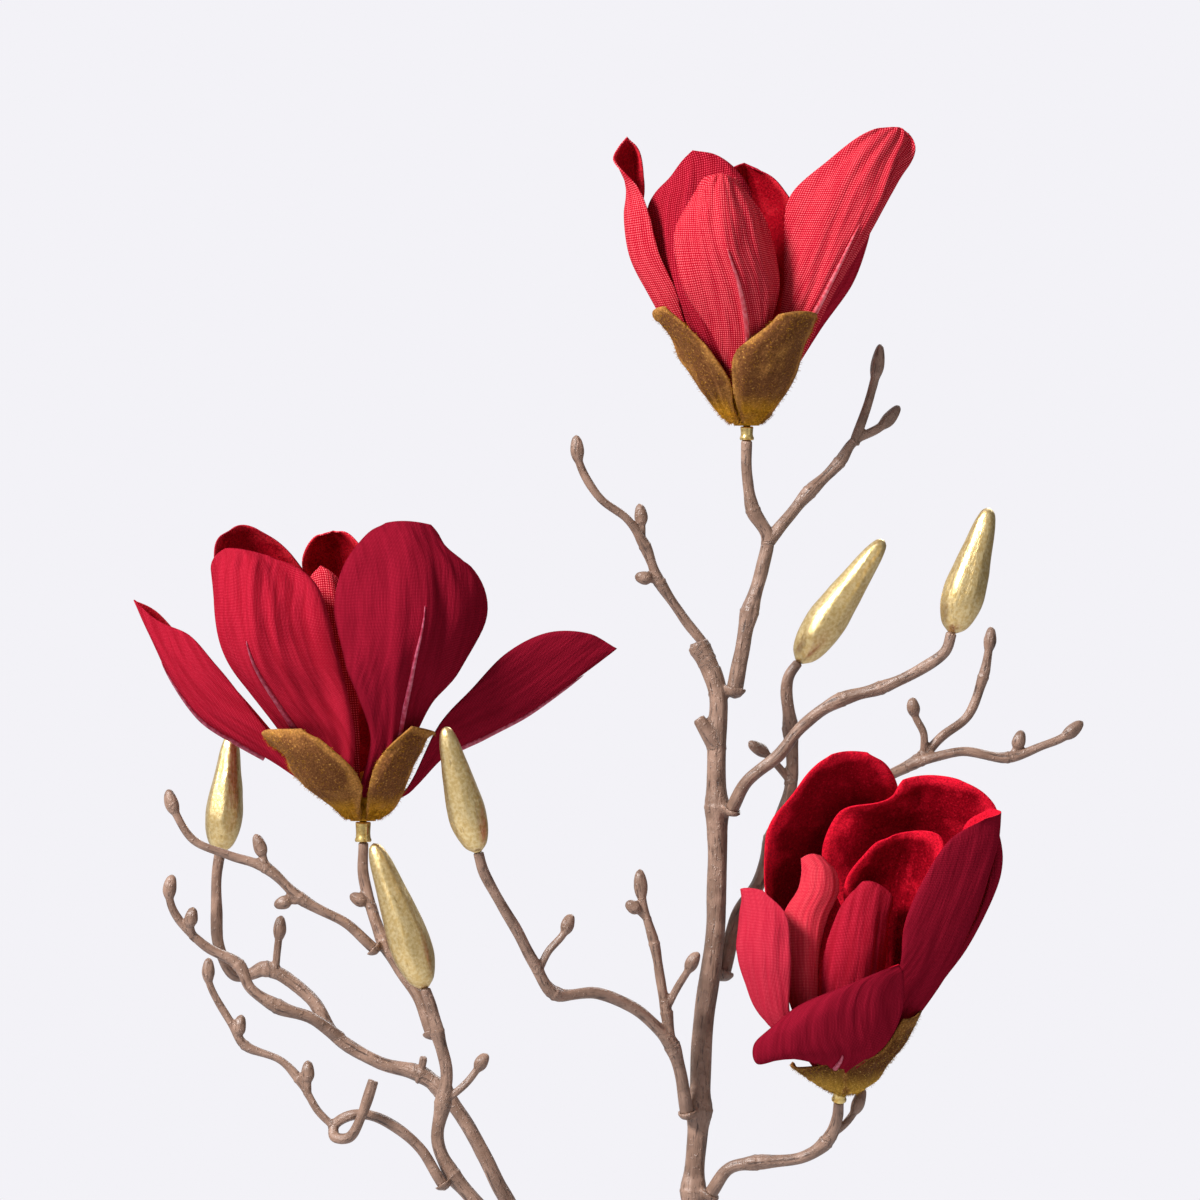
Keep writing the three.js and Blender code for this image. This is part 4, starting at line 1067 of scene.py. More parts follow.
@dataclass
class Socket:
    """The small gold socket between a stem's peg and a bloom's core."""

    bloom: str
    height: float
    radius: float
    rim: float = 0.3
    spigot_radius: float = 1.2
    spigot_height: float = 3.0

    def profile(self) -> list[tuple[float, float]]:
        """The socket's outline, in metres, with the bore first."""
        depth = min(PEG_BORE_DEPTH, self.height - self.rim)
        wide = self.radius + self.rim
        points = [
            (0, depth),
            (PEG_BORE, depth),
            (PEG_BORE, 0),
            (wide - 0.4, 0),
            (wide - 0.15, 0.3),
            (wide - 0.1, 0.8),
            (self.radius - 0.1, 1.5),
            (self.radius - 0.2, 0.45 * self.height),
            (self.radius - 0.1, 0.75 * self.height),
            (self.radius, self.height - 0.3),
            (self.radius - self.rim, self.height),
            (self.spigot_radius, self.height),
            (self.spigot_radius, self.height + self.spigot_height),
            (0, self.height + self.spigot_height),
        ]
        return [(radius * MM, height * MM) for radius, height in points]

    def make(self, place: Matrix) -> bpy.types.Object:
        """Builds the socket.

        Args:
            place: puts the bloom's axis on the stem's end.

        Returns:
            The finished piece.
        """
        shape = spun(self.profile(), SOCKET_SIDES)
        name = self.bloom + "_socket"
        return dress(name + "_lacquer", shape, place, LACQUER, name, "gold_socket", name)


# Petals and sepals


@dataclass
class Leaf:
    """A petal or sepal of cloth.

    Its seat and its throat lie on circles round the bloom's axis, at its azimuth and spread to both
    sides of it in degrees. Its free stations follow, each with one edge, the spine and the other edge,
    from the lower azimuth to the higher, as millimetres from the top of the bloom's socket along the
    part's own axes. A ridge runs between two shares of the leaf's length. A neck is a throat of the
    leaf's own. Ruffle, crease and curl are heights in millimetres.
    """

    name: str
    layer: int
    azimuth: float
    spread: float
    free: Sequence[Station]
    dye: Dye = Dye.CRIMSON
    ridge: tuple[float, float] | None = None
    neck: tuple[float, float] | None = None
    ruffle: float = 0.6
    crease: float = 0.5
    curl: float = 0.0
    seed: float = 0.0


@dataclass(frozen=True)
class LeafCloth:
    """How a leaf's cloth is cut: its grid, thickness and gathers, and how far off the core it is glued."""

    kind: str
    rows: int
    columns: int
    thickness: float
    gather: float
    stand_off: float


PETAL_CLOTH = LeafCloth("petal", rows=64, columns=40, thickness=0.5, gather=0.3, stand_off=1.1)
SEPAL_CLOTH = LeafCloth("sepal", rows=30, columns=28, thickness=0.8, gather=0.15, stand_off=1.2)


class LeafShape:
    """Works out a leaf's surface from its stations."""

    def __init__(self, leaf: Leaf, cloth: LeafCloth, stations: Sequence[Sequence[Sequence[float]]]) -> None:
        """Draws the leaf's two edges and its spine.

        Args:
            leaf: the leaf's table entry.
            cloth: how its cloth is cut.
            stations: all its stations, from the seat to the tip.
        """
        self.leaf = leaf
        self.cloth = cloth
        self.edges = [Route([station[k] for station in stations]) for k in range(3)]

    def plain(self, shares: np.ndarray, sides: np.ndarray) -> np.ndarray:
        """The surface's points at shares of its length and places across it from -1 to 1, in millimetres."""
        first, spine, last = (np.array([edge.point(t) for t in shares])[:, None] for edge in self.edges)
        u = sides[None, :, None]
        return first * u * (u - 1) / 2 + spine * (1 - u * u) + last * u * (u + 1) / 2

    def normals(self, shares: np.ndarray, sides: np.ndarray) -> np.ndarray:
        """The outward normals, taken a little lower where the tip closes."""
        held = np.minimum(shares, 0.97)
        step = 0.01
        up = self.plain(held + step, sides) - self.plain(held - step, sides)
        across = self.plain(held, sides + step) - self.plain(held, sides - step)
        found = np.cross(across, up)
        return found / np.maximum(np.linalg.norm(found, axis=2, keepdims=True), 1e-9)

    def lift(self, share: float, side: float) -> float:
        """How far the cloth stands out of its plain form, in millimetres.

        Args:
            share: the place along the leaf, from 0 to 1.
            side: the place across it, from -1 to 1.

        Returns:
            The distance outwards.
        """
        leaf, cloth = self.leaf, self.cloth
        edge = abs(side)
        free = min(1.0, max(0.0, (share - 0.3) / 0.3))
        shift = 2.1 if side > 0 else 0.0
        wave = math.sin(11.0 * share + leaf.seed + shift) + 0.6 * math.sin(23.0 * share + 2 * leaf.seed)
        ruffle = leaf.ruffle * wave * edge**4 * free
        wide = noise.noise(Vector((side * 3.2, share * 1.2, leaf.seed)))
        narrow = noise.noise(Vector((side * 8.5, share * 2.0, leaf.seed + 5)))
        dents = noise.noise(Vector((side * 4.5, share * 8.0, leaf.seed + 9)))
        gathers = cloth.gather * math.sin(side * 17 + leaf.seed) * math.exp(-share / 0.25)
        fade = min(1.0, share / 0.1) * min(1.0, (1 - share) / 0.08)
        smooth = min(1.0, (1 - share) / 0.3)
        rolled = leaf.curl * max(edge, (share - 0.5) * 2) ** 8 * free
        creased = leaf.crease * (1.6 * wide + 0.8 * narrow + 0.6 * dents)
        return (ruffle + (creased + gathers) * smooth) * fade + rolled

    def grid(self) -> np.ndarray:
        """The outer surface's points, row by row from the seat, in millimetres."""
        cloth = self.cloth
        shares = np.linspace(0, 1, cloth.rows + 1)
        sides = np.linspace(-1, 1, cloth.columns + 1)
        lifts = np.array([[self.lift(share, side) for side in sides] for share in shares])
        return self.plain(shares, sides) + self.normals(shares, sides) * lifts[:, :, None]

    def build(self) -> tuple[bmesh.types.BMesh, tuple[float, float], float]:
        """Builds the cloth's outer face as a grid, with its own width and length in metres as UVs.

        Returns:
            The open grid in metres, the cut's flat width and length in metres, and its area in
            square metres.
        """
        cloth = self.cloth
        points = self.grid() * MM
        middle = cloth.columns // 2
        steps = np.linalg.norm(np.diff(points, axis=1), axis=2)
        across = np.concatenate([np.zeros((cloth.rows + 1, 1)), np.cumsum(steps, axis=1)], axis=1)
        across -= across[:, middle : middle + 1]
        climbs = np.linalg.norm(np.diff(points[:, middle], axis=0), axis=1)
        along = np.concatenate([[0.0], np.cumsum(climbs)])
        widths = across[:, -1] - across[:, 0]
        area = float(np.sum((widths[1:] + widths[:-1]) / 2 * climbs))
        shape = bmesh.new()
        uv = shape.loops.layers.uv.new("cloth")
        # The closeness to the cut's edge, which the velvet turns into a painted sheen on its rims.
        rim = shape.verts.layers.float.new("edge")
        bmesh.ops.create_grid(shape, x_segments=cloth.columns, y_segments=cloth.rows, size=0.5)
        for vert in shape.verts:
            j = round((vert.co.x + 0.5) * cloth.columns)
            i = round((vert.co.y + 0.5) * cloth.rows)
            for loop in vert.link_loops:
                loop[uv].uv = (across[i, j], along[i])
            vert[rim] = max(abs(2 * j / cloth.columns - 1), 2 * i / cloth.rows - 1)
            vert.co = points[i, j]
        bmesh.ops.remove_doubles(shape, verts=shape.verts, dist=WELD)
        return shape, (float(widths.max()), float(along[-1])), area

    def fibres(self, count: int, length: float) -> bmesh.types.BMesh:
        """Loose fibres that stand out of the flocked face, more of them along its edges.

        Args:
            count: how many.
            length: the longest one's length in millimetres.

        Returns:
            The fibres as slim open cones, in metres.
        """
        dice = np.random.default_rng(int(10 * self.leaf.seed) + 3)
        low = dice.random(count) < 0.3
        shares = np.where(low, dice.uniform(0.0, 0.15, count), dice.uniform(0.0, 0.985, count))
        outer = dice.random(count) < 0.35
        sides = np.where(outer, dice.choice([-1.0, 1.0], count), dice.uniform(-1, 1, count))
        shape = bmesh.new()
        for share, side in zip(shares, sides):
            here, there = np.array([share]), np.array([side])
            normal = self.normals(here, there)[0, 0]
            foot = self.plain(here, there)[0, 0] + normal * self.lift(share, side)
            way = 0.8 * normal + dice.normal(0, 0.45, 3) + np.array([0.0, 0.0, 0.25])
            way /= np.linalg.norm(way)
            reach = length * dice.uniform(0.5, 1.0) * MM
            place = along_axis(foot * MM + way * reach * 0.4, way)
            bmesh.ops.create_cone(
                shape, segments=3, radius1=0.07 * MM, radius2=0.02 * MM, depth=reach, matrix=place
            )
        return shape

    def ridge(self, start: float, end: float) -> list[Ring]:
        """The glued ridge over the leaf's hidden wire.

        Args:
            start: the share of the leaf's length where it starts.
            end: the share where it ends.

        Returns:
            Its tapering cross-sections, in metres.
        """
        shares = np.linspace(start, end, 44)
        middle = np.array([0.0])
        normals = self.normals(shares, middle)[:, 0]
        lifts = np.array([self.lift(share, 0.0) + 0.3 for share in shares])
        points = (self.plain(shares, middle)[:, 0] + normals * lifts[:, None]) * MM
        made = []
        for k, point in enumerate(points):
            tangent = points[min(k + 1, len(points) - 1)] - points[max(k - 1, 0)]
            tangent = tangent / np.linalg.norm(tangent)
            side = normals[k] - tangent * np.dot(normals[k], tangent)
            share = k / (len(points) - 1)
            radius = (1.0 * (1 - share) ** 0.6 + 0.08) * MM
            made.append(Ring(point, tangent, radius, side / np.linalg.norm(side)))
        return made


@dataclass
class Bloom:
    """A bloom: socket, core, petals and sepals, seated on a stem's peg.

    Its socket, throat and calyx are each a radius and a height in millimetres. Layer 0 of the petals is
    the innermost, and each further one is glued lower on the core and leaves the throat wider.
    """

    name: str
    stem: Moulding
    socket: tuple[float, float]
    throat: tuple[float, float]
    calyx: tuple[float, float]
    petals: Sequence[Leaf]
    sepals: Sequence[Leaf]
    velvet_rims: bool = False
    petal_velvet: FlockedVelvet = DUSTY_VELVET
    calyx_velvet: FlockedVelvet = CALYX_VELVET
    core_radius: float = 5.6
    core_height: float = 17.0
    core_foot: float = 0.3
    core_bore: tuple[float, float] = (1.5, 3.3)
    top_seat: float = 12.24
    seat_step: float = 2.0
    layer_step: float = 2.0
    sepal_seat: float = 0.9
    fibre_count: int = 900
    fibre_length: float = 1.3

    def core_profile(self) -> list[tuple[float, float]]:
        """The core's outside as radius and height, in millimetres."""
        radii = [share * self.core_radius for share in (0.75, 1, 0.9, 0.5)]
        heights = [self.core_foot, *(share * self.core_height for share in (0.3, 0.7, 0.93))]
        return list(zip(radii, heights))

    def make(self) -> None:
        """Builds every piece of the bloom."""
        radius, height = self.socket
        foot = self.stem.peg_place
        head = foot @ Matrix.Translation((0, 0, height * MM))
        Socket(self.name, height, radius).make(foot)
        self.make_core(head)
        for leaf in self.petals:
            seat = self.top_seat - leaf.layer * self.seat_step
            neck = leaf.neck or (self.throat[0] + leaf.layer * self.layer_step, self.throat[1])
            self.make_leaf(leaf, PETAL_CLOTH, head, seat, neck)
        for leaf in self.sepals:
            self.make_leaf(leaf, SEPAL_CLOTH, head, self.sepal_seat, self.calyx)

    def round_station(self, leaf: Leaf, radius: float, height: float, head: Matrix) -> list[Vector]:
        """One edge, the middle and the other edge of a leaf on a circle round the bloom's axis.

        Args:
            leaf: the leaf's table entry.
            radius: the circle's radius in millimetres.
            height: its height over the socket in millimetres.
            head: where the top of the socket is and which way it leans.

        Returns:
            The three points in millimetres from the top of the socket, along the part's own axes.
        """
        angles = [math.radians(leaf.azimuth + side * leaf.spread) for side in (-1, 0, 1)]
        lean = head.to_3x3()
        return [lean @ Vector((radius * math.cos(a), radius * math.sin(a), height)) for a in angles]

    def make_core(self, head: Matrix) -> None:
        """Builds the foam core, dressed in the calyx's velvet where it shows below the sepals."""
        bore, depth = self.core_bore
        inside = [(0, depth), (bore, depth), (bore, self.core_foot)]
        points, _, _ = Route([(r, 0.0, z) for r, z in self.core_profile()]).evenly(np.linspace(0, 1, 16))
        outside = [(float(p[0]), float(p[2])) for p in points]
        profile = [(r * MM, z * MM) for r, z in [*inside, *outside, (0, self.core_height)]]
        shape = spun(profile, CORE_SIDES)
        name = self.name + "_core"
        dress(name + "_velvet", shape, head, self.calyx_velvet, self.name, "bloom_core", name)

    def make_leaf(
        self, leaf: Leaf, cloth: LeafCloth, head: Matrix, seat: float, neck: tuple[float, float]
    ) -> None:
        """Builds one petal or sepal with its ridge.

        Args:
            leaf: its table entry.
            cloth: how its cloth is cut.
            head: where the top of the socket is and which way it leans.
            seat: how high on the core it is glued, in millimetres.
            neck: the radius and height of the circle that it passes above its seat, in millimetres.
        """
        node = f"{self.name}_{cloth.kind}_{leaf.name}"
        origin = head.translation
        radii, heights = zip(*self.core_profile())
        seat_radius = float(np.interp(seat, heights, radii)) + cloth.stand_off
        glued = [self.round_station(leaf, seat_radius, seat, head), self.round_station(leaf, *neck, head)]
        form = LeafShape(leaf, cloth, [*glued, *leaf.free])
        shape, flat, area = form.build()
        bmesh.ops.translate(shape, vec=origin, verts=shape.verts)
        piece = link_mesh(node + "_cloth", shape)
        is_petal = cloth is PETAL_CLOTH
        outside = leaf.dye.value if is_petal else self.calyx_velvet
        inside = self.petal_velvet if is_petal else self.calyx_velvet
        for finish in (outside, inside):
            piece.data.materials.append(finish.material())
        wall = piece.modifiers.new("cloth", "SOLIDIFY")
        wall.thickness = cloth.thickness * MM
        wall.offset = -1.0
        wall.material_offset = 1
        wall.material_offset_rim = 1 if self.velvet_rims else 0
        wall.use_even_offset = False
        apply_modifiers(piece)
        settle(piece, self.name, "petal_cloth" if is_petal else "sepal_velvet", node)
        if leaf.ridge:
            self.make_ridge(form, leaf.ridge, node, origin)
        if not is_petal:
            self.make_fibres(form, node, origin)

    def make_ridge(
        self, form: LeafShape, reach: tuple[float, float], node: str, origin: Vector
    ) -> bpy.types.Object:
        """Builds the glued ridge along a leaf's spine.

        Args:
            form: the leaf's shape.
            reach: the shares of the leaf's length where the ridge starts and ends.
            node: the leaf's node.
            origin: the top of the bloom's socket.

        Returns:
            The finished piece.
        """
        shape = bmesh.new()
        sweep(shape, form.ridge(*reach), RIDGE_SIDES)
        glue = CORAL_RIDGE if form.leaf.dye is Dye.CORAL else WINE_RIDGE
        place = Matrix.Translation(origin)
        return dress(node + "_ridge", shape, place, glue, self.name, "petal_cloth")

    def make_fibres(self, form: LeafShape, node: str, origin: Vector) -> bpy.types.Object:
        """Builds the loose fibres on a sepal.

        Args:
            form: the sepal's shape.
            node: the sepal's node.
            origin: the top of the bloom's socket.

        Returns:
            The finished piece.
        """
        shape = form.fibres(self.fibre_count, self.fibre_length)
        place = Matrix.Translation(origin)
        return dress(node + "_fibres", shape, place, self.calyx_velvet, self.name, "sepal_velvet")


# The stem's own tables


def spur(*route: Point) -> Stem:
    """A short twig of even thickness that ends in a leaf bud."""
    return Stem(route, TWIG_RADIUS, TWIG_RADIUS)


def build_mouldings() -> dict[str, Moulding]:
    """The trunk and every branch moulding, in the order that they plug together.

    Returns:
        Each moulding by its node's name.
    """
    cut, peg = Tip.CUT, Tip.PEG
    made: dict[str, Moulding] = {}

    def add(
        name: str, parent: str, knot: int, main: Stem, *twigs: Stem, body: str = "", **more: Any
    ) -> None:
        """Adds a moulding that plugs into a knot of an earlier one."""
        made[name] = Moulding(name, body or name, main, twigs, made.get(parent), knot, **more)

    add(
        "trunk", "", 0,
        Stem(
            [
                (0, 0, -360), (0, 0, -180), (0, 0, 0), (0, 0, 50), (0, 0, 106), (2, 0, 133), (3, 0, 158),
                (6, 0, 180), (8, 0, 200), (8, 0, 234), (8, 0, 256), (8, 1, 273), (2, 2, 289),
            ],
            TRUNK_RADIUS, TRUNK_TOP_RADIUS, (2, 4, 5, 9), cut,
        ),
        Stem([(5.5, 1.5, 281), (2.6, 2, 286.6), (1.6, 2, 288.2)], 2.6, 3.0, (1,), cut),
        Stem([(8, 0, 254), (4.5, -1, 259.5), (1.8, -1, 263.6)], 2.9, 2.1, (), cut),
        voxel=0.6 * MM,
        bark_width=1.9 * MM,
        bore=((WIRE_RADIUS + CLEARANCE) * MM, (WIRE_DEPTH + CLEARANCE) * MM),
    )
    add(
        "top_spray", "trunk", 11,
        Stem(
            [
                (14, 1, 273), (17, 1, 290), (19, 2, 299), (23, 3, 313), (25, 3, 324), (20, 3, 333),
                (18, 3, 345), (18, 3, 356),
            ],
            LIMB_RADIUS, STALK_RADIUS, (2, 5), peg,
        ),
        Stem(
            [
                (25, 3, 322), (32, 5, 331), (39, 7, 339), (49, 9, 349), (54, 10, 356), (63, 11, 361),
                (70, 12, 369),
            ],
            BRANCH_RADIUS, TWIG_RADIUS, (2, 3),
        ),
        Stem([(54, 10, 355), (57, 10, 364), (61, 11, 377), (63, 11, 390)], STALK_RADIUS, TWIG_RADIUS),
    )
    add(
        "upper_left_twig", "trunk", 11,
        Stem(
            [
                (8, 7, 273), (5, 9, 286), (-3, 9, 297), (-11, 6, 309), (-16, 4, 321), (-22, 2, 330),
                (-31, 0, 337), (-38, -1, 349), (-39, -1, 359),
            ],
            STALK_RADIUS, TWIG_RADIUS, (3, 4),
        ),
        spur((-17, 4, 323), (-17, 4, 328), (-18, 4, 336)),
        spur((-11, 6, 309), (-14, 5, 310), (-20, 4, 311)),
    )
    add(
        "right_branch", "trunk", 9,
        Stem(
            [
                (12, -4, 234), (18, -8, 243), (28, -11, 251), (36, -13, 261), (49, -17, 270),
                (62, -20, 274), (75, -24, 280), (83, -27, 286), (85, -27, 292),
            ],
            BRANCH_RADIUS, STALK_RADIUS, (4, 5), peg,
        ),
    )
    add(
        "rear_branch", "trunk", 7,
        Stem(
            [
                (10, 5, 180), (15, 8, 197), (22, 12, 208), (27, 17, 223), (33, 19, 241), (33, 20, 260),
                (31.5, 20, 272), (32.5, 20, 277.5), (35.5, 20, 282),
            ],
            LIMB_RADIUS, STALK_RADIUS, (3, 5), peg,
        ),
        spur((33, 19, 242), (29, 18, 247), (25, 17, 251), (18, 16, 256)),
        Stem(
            [
                (27, 17, 222), (42, 22, 230), (56, 26, 236), (65, 28, 243), (76, 30, 249), (84, 31, 257),
                (93, 32, 264), (98, 32, 277), (100, 32, 286), (101, 32, 295),
            ],
            BRANCH_RADIUS, TWIG_RADIUS, (4, 7),
        ),
        Stem(
            [
                (73, 29, 247), (81, 28, 250), (91, 27, 252), (106, 26, 250), (118, 25, 254), (125, 25, 257),
                (132, 25, 263),
            ],
            STALK_RADIUS, TWIG_RADIUS, (3,),
        ),
        spur((107, 26, 250), (109, 26, 253), (111, 26, 260)),
        spur((78, 30, 251), (78, 29, 258), (75, 29, 264), (74, 28, 271)),
    )
    add(
        "right_bloom_branch", "trunk", 4,
        Stem(
            [
                (5, -3, 108), (12, -6, 114), (21, -9, 116), (36, -13, 118), (44, -15, 123),
                (47.5, -19, 131), (48, -22, 137),
            ],
            BRANCH_RADIUS, STALK_RADIUS, (2, 4), peg,
        ),
        spur((45, -16, 125), (50, -16, 129), (53, -16, 133), (57, -15, 142)),
    )
    add(
        "mid_left_branch", "trunk", 5,
        Stem(
            [
                (-1, -4, 133), (-4, -9, 144), (-7, -12, 155), (-13, -15, 162), (-20, -18, 168),
                (-32, -23, 173), (-46, -28, 173), (-53, -32, 184), (-60, -37, 197), (-69, -42, 213),
                (-71, -43, 220),
            ],
            BRANCH_RADIUS, STALK_RADIUS, (2, 6), peg,
        ),
        Stem(
            [
                (-7, -12, 154), (-9, -13, 166), (-11, -14, 178), (-13, -15, 189), (-17, -16, 204),
                (-18, -16, 215),
            ],
            STALK_RADIUS, TWIG_RADIUS, (1, 3),
        ),
        spur((-15, -15, 197), (-18, -16, 200), (-23, -17, 203)),
        spur((-9, -13, 167), (-5, -14, 175), (-2, -15, 180), (2, -16, 187)),
        spur((-51, -31, 181), (-48, -30, 187), (-43, -29, 193), (-40, -28, 200)),
    )
    add(
        "left_limb", "trunk", 2,
        Stem(
            [(-5, 0, 4), (-13, 0, 18), (-28, 0, 42), (-43, 0, 66), (-50, 0, 78)],
            LIMB_RADIUS, LIMB_RADIUS, (3,), cut,
        ),
    )
    add(
        "left_rear_stem", "left_limb", 3,
        Stem(
            [
                (-44, 6, 66), (-51, 9, 82), (-63, 11, 104), (-76, 13, 128), (-84, 14, 139), (-91, 15, 144),
                (-105, 17, 148), (-120, 19, 157), (-128, 22, 169), (-143, 25, 179), (-149, 26, 177),
                (-154, 26, 177), (-159, 27, 186), (-160, 28, 198), (-160, 28, 210), (-159, 28, 218),
            ],
            LIMB_RADIUS, STALK_RADIUS, (4, 5, 9), peg,
        ),
        Stem([(-91, 15, 144), (-90, 12, 150)], TWIG_RADIUS, TWIG_RADIUS, (), cut),
        Stem(
            [
                (-118, 19, 156), (-128, 15, 163), (-139, 13, 167), (-148, 13, 173), (-152, 14, 181),
                (-163, 14, 187), (-172, 13, 196), (-175, 12, 203), (-174, 12, 212),
            ],
            BRANCH_RADIUS, TWIG_RADIUS, (2, 4),
        ),
        spur((-167, 14, 190), (-168, 12, 194), (-167, 11, 201)),
        spur((-140, 24, 178), (-139, 23, 189), (-138, 23, 198)),
    )
    add(
        "left_front_stem", "left_limb", 3,
        Stem(
            [
                (-43, -6, 66), (-55, -9, 84), (-73, -10, 104), (-80, -10, 112), (-85, -10, 123),
                (-83, -11, 136), (-82, -12, 146), (-85, -14, 160), (-87, -15, 168), (-89, -15, 174),
            ],
            LIMB_RADIUS, STALK_RADIUS, (3, 5, 7), peg,
        ),
        spur((-83, -11, 136), (-76, -12, 142), (-72, -12, 147), (-68, -12, 153)),
    )
    add(
        "curled_twig", "left_front_stem", 3,
        Stem(
            [
                (-84, -11, 115), (-90, -13, 120), (-97, -14, 127), (-107, -15, 132), (-114, -15, 132),
                (-119, -14, 129), (-119, -16, 125), (-114, -19, 125), (-110, -20.5, 132), (-106, -21, 144),
            ],
            STALK_RADIUS, STALK_RADIUS, (), cut,
        ),
        Stem(
            [
                (-119, -14, 128), (-125, -13, 134), (-131, -11, 144), (-137, -10, 150), (-149, -8, 155),
                (-154, -8, 163), (-161, -8, 176), (-161, -8, 185),
            ],
            TWIG_RADIUS, TWIG_RADIUS, (2, 4),
        ),
        spur((-149, -8, 155), (-151, -8, 158), (-150, -8, 166)),
        spur((-128, -12, 139), (-128, -12, 143), (-128, -12, 151)),
        body="left_front_stem",
    )
    add(
        "left_bloom_stem", "left_front_stem", 7,
        Stem(
            [
                (-86, -10, 160), (-91, -7, 170), (-98, -4, 181), (-103, -2, 189), (-107, 0, 200),
                (-110, 2, 212), (-110, 2, 222),
            ],
            BRANCH_RADIUS, STALK_RADIUS, (3,), peg,
        ),
        spur((-106, 0, 200), (-109, 0, 202), (-115, 0, 205)),
    )
    add(
        "left_side_twig", "left_bloom_stem", 3,
        Stem(
            [
                (-108, -4, 189), (-115, -5, 195), (-131, -6, 204), (-142, -7, 214), (-154, -7, 218),
                (-166, -7, 223), (-172, -7, 232), (-175, -7, 241),
            ],
            STALK_RADIUS, TWIG_RADIUS, (2, 3),
        ),
        spur((-142, -7, 214), (-143, -7, 218), (-146, -7, 226)),
        spur((-130, -6, 203), (-134, -6, 203), (-140, -6, 201)),
        body="left_bloom_stem",
    )
    return made


def build_buds(stems: dict[str, Moulding]) -> list[GildedBud]:
    """The five gilded buds."""
    return [
        GildedBud("gilded_bud_top_right", stems["rear_branch"], 50, 13.5, 1, 0.4),
        GildedBud("gilded_bud_far_right", stems["right_branch"], 43, 14, -1, 1.7),
        GildedBud("gilded_bud_centre", stems["mid_left_branch"], 43, 12.5, 1, 2.9),
        GildedBud("gilded_bud_far_left", stems["left_rear_stem"], 40, 12.5, -1, 4.1),
        GildedBud("gilded_bud_left", stems["left_front_stem"], 51, 14, -1, 5.3),
    ]


def tip(x: float, y: float, z: float) -> Station:
    """A station where both edges meet the spine."""
    return ((x, y, z),) * 3


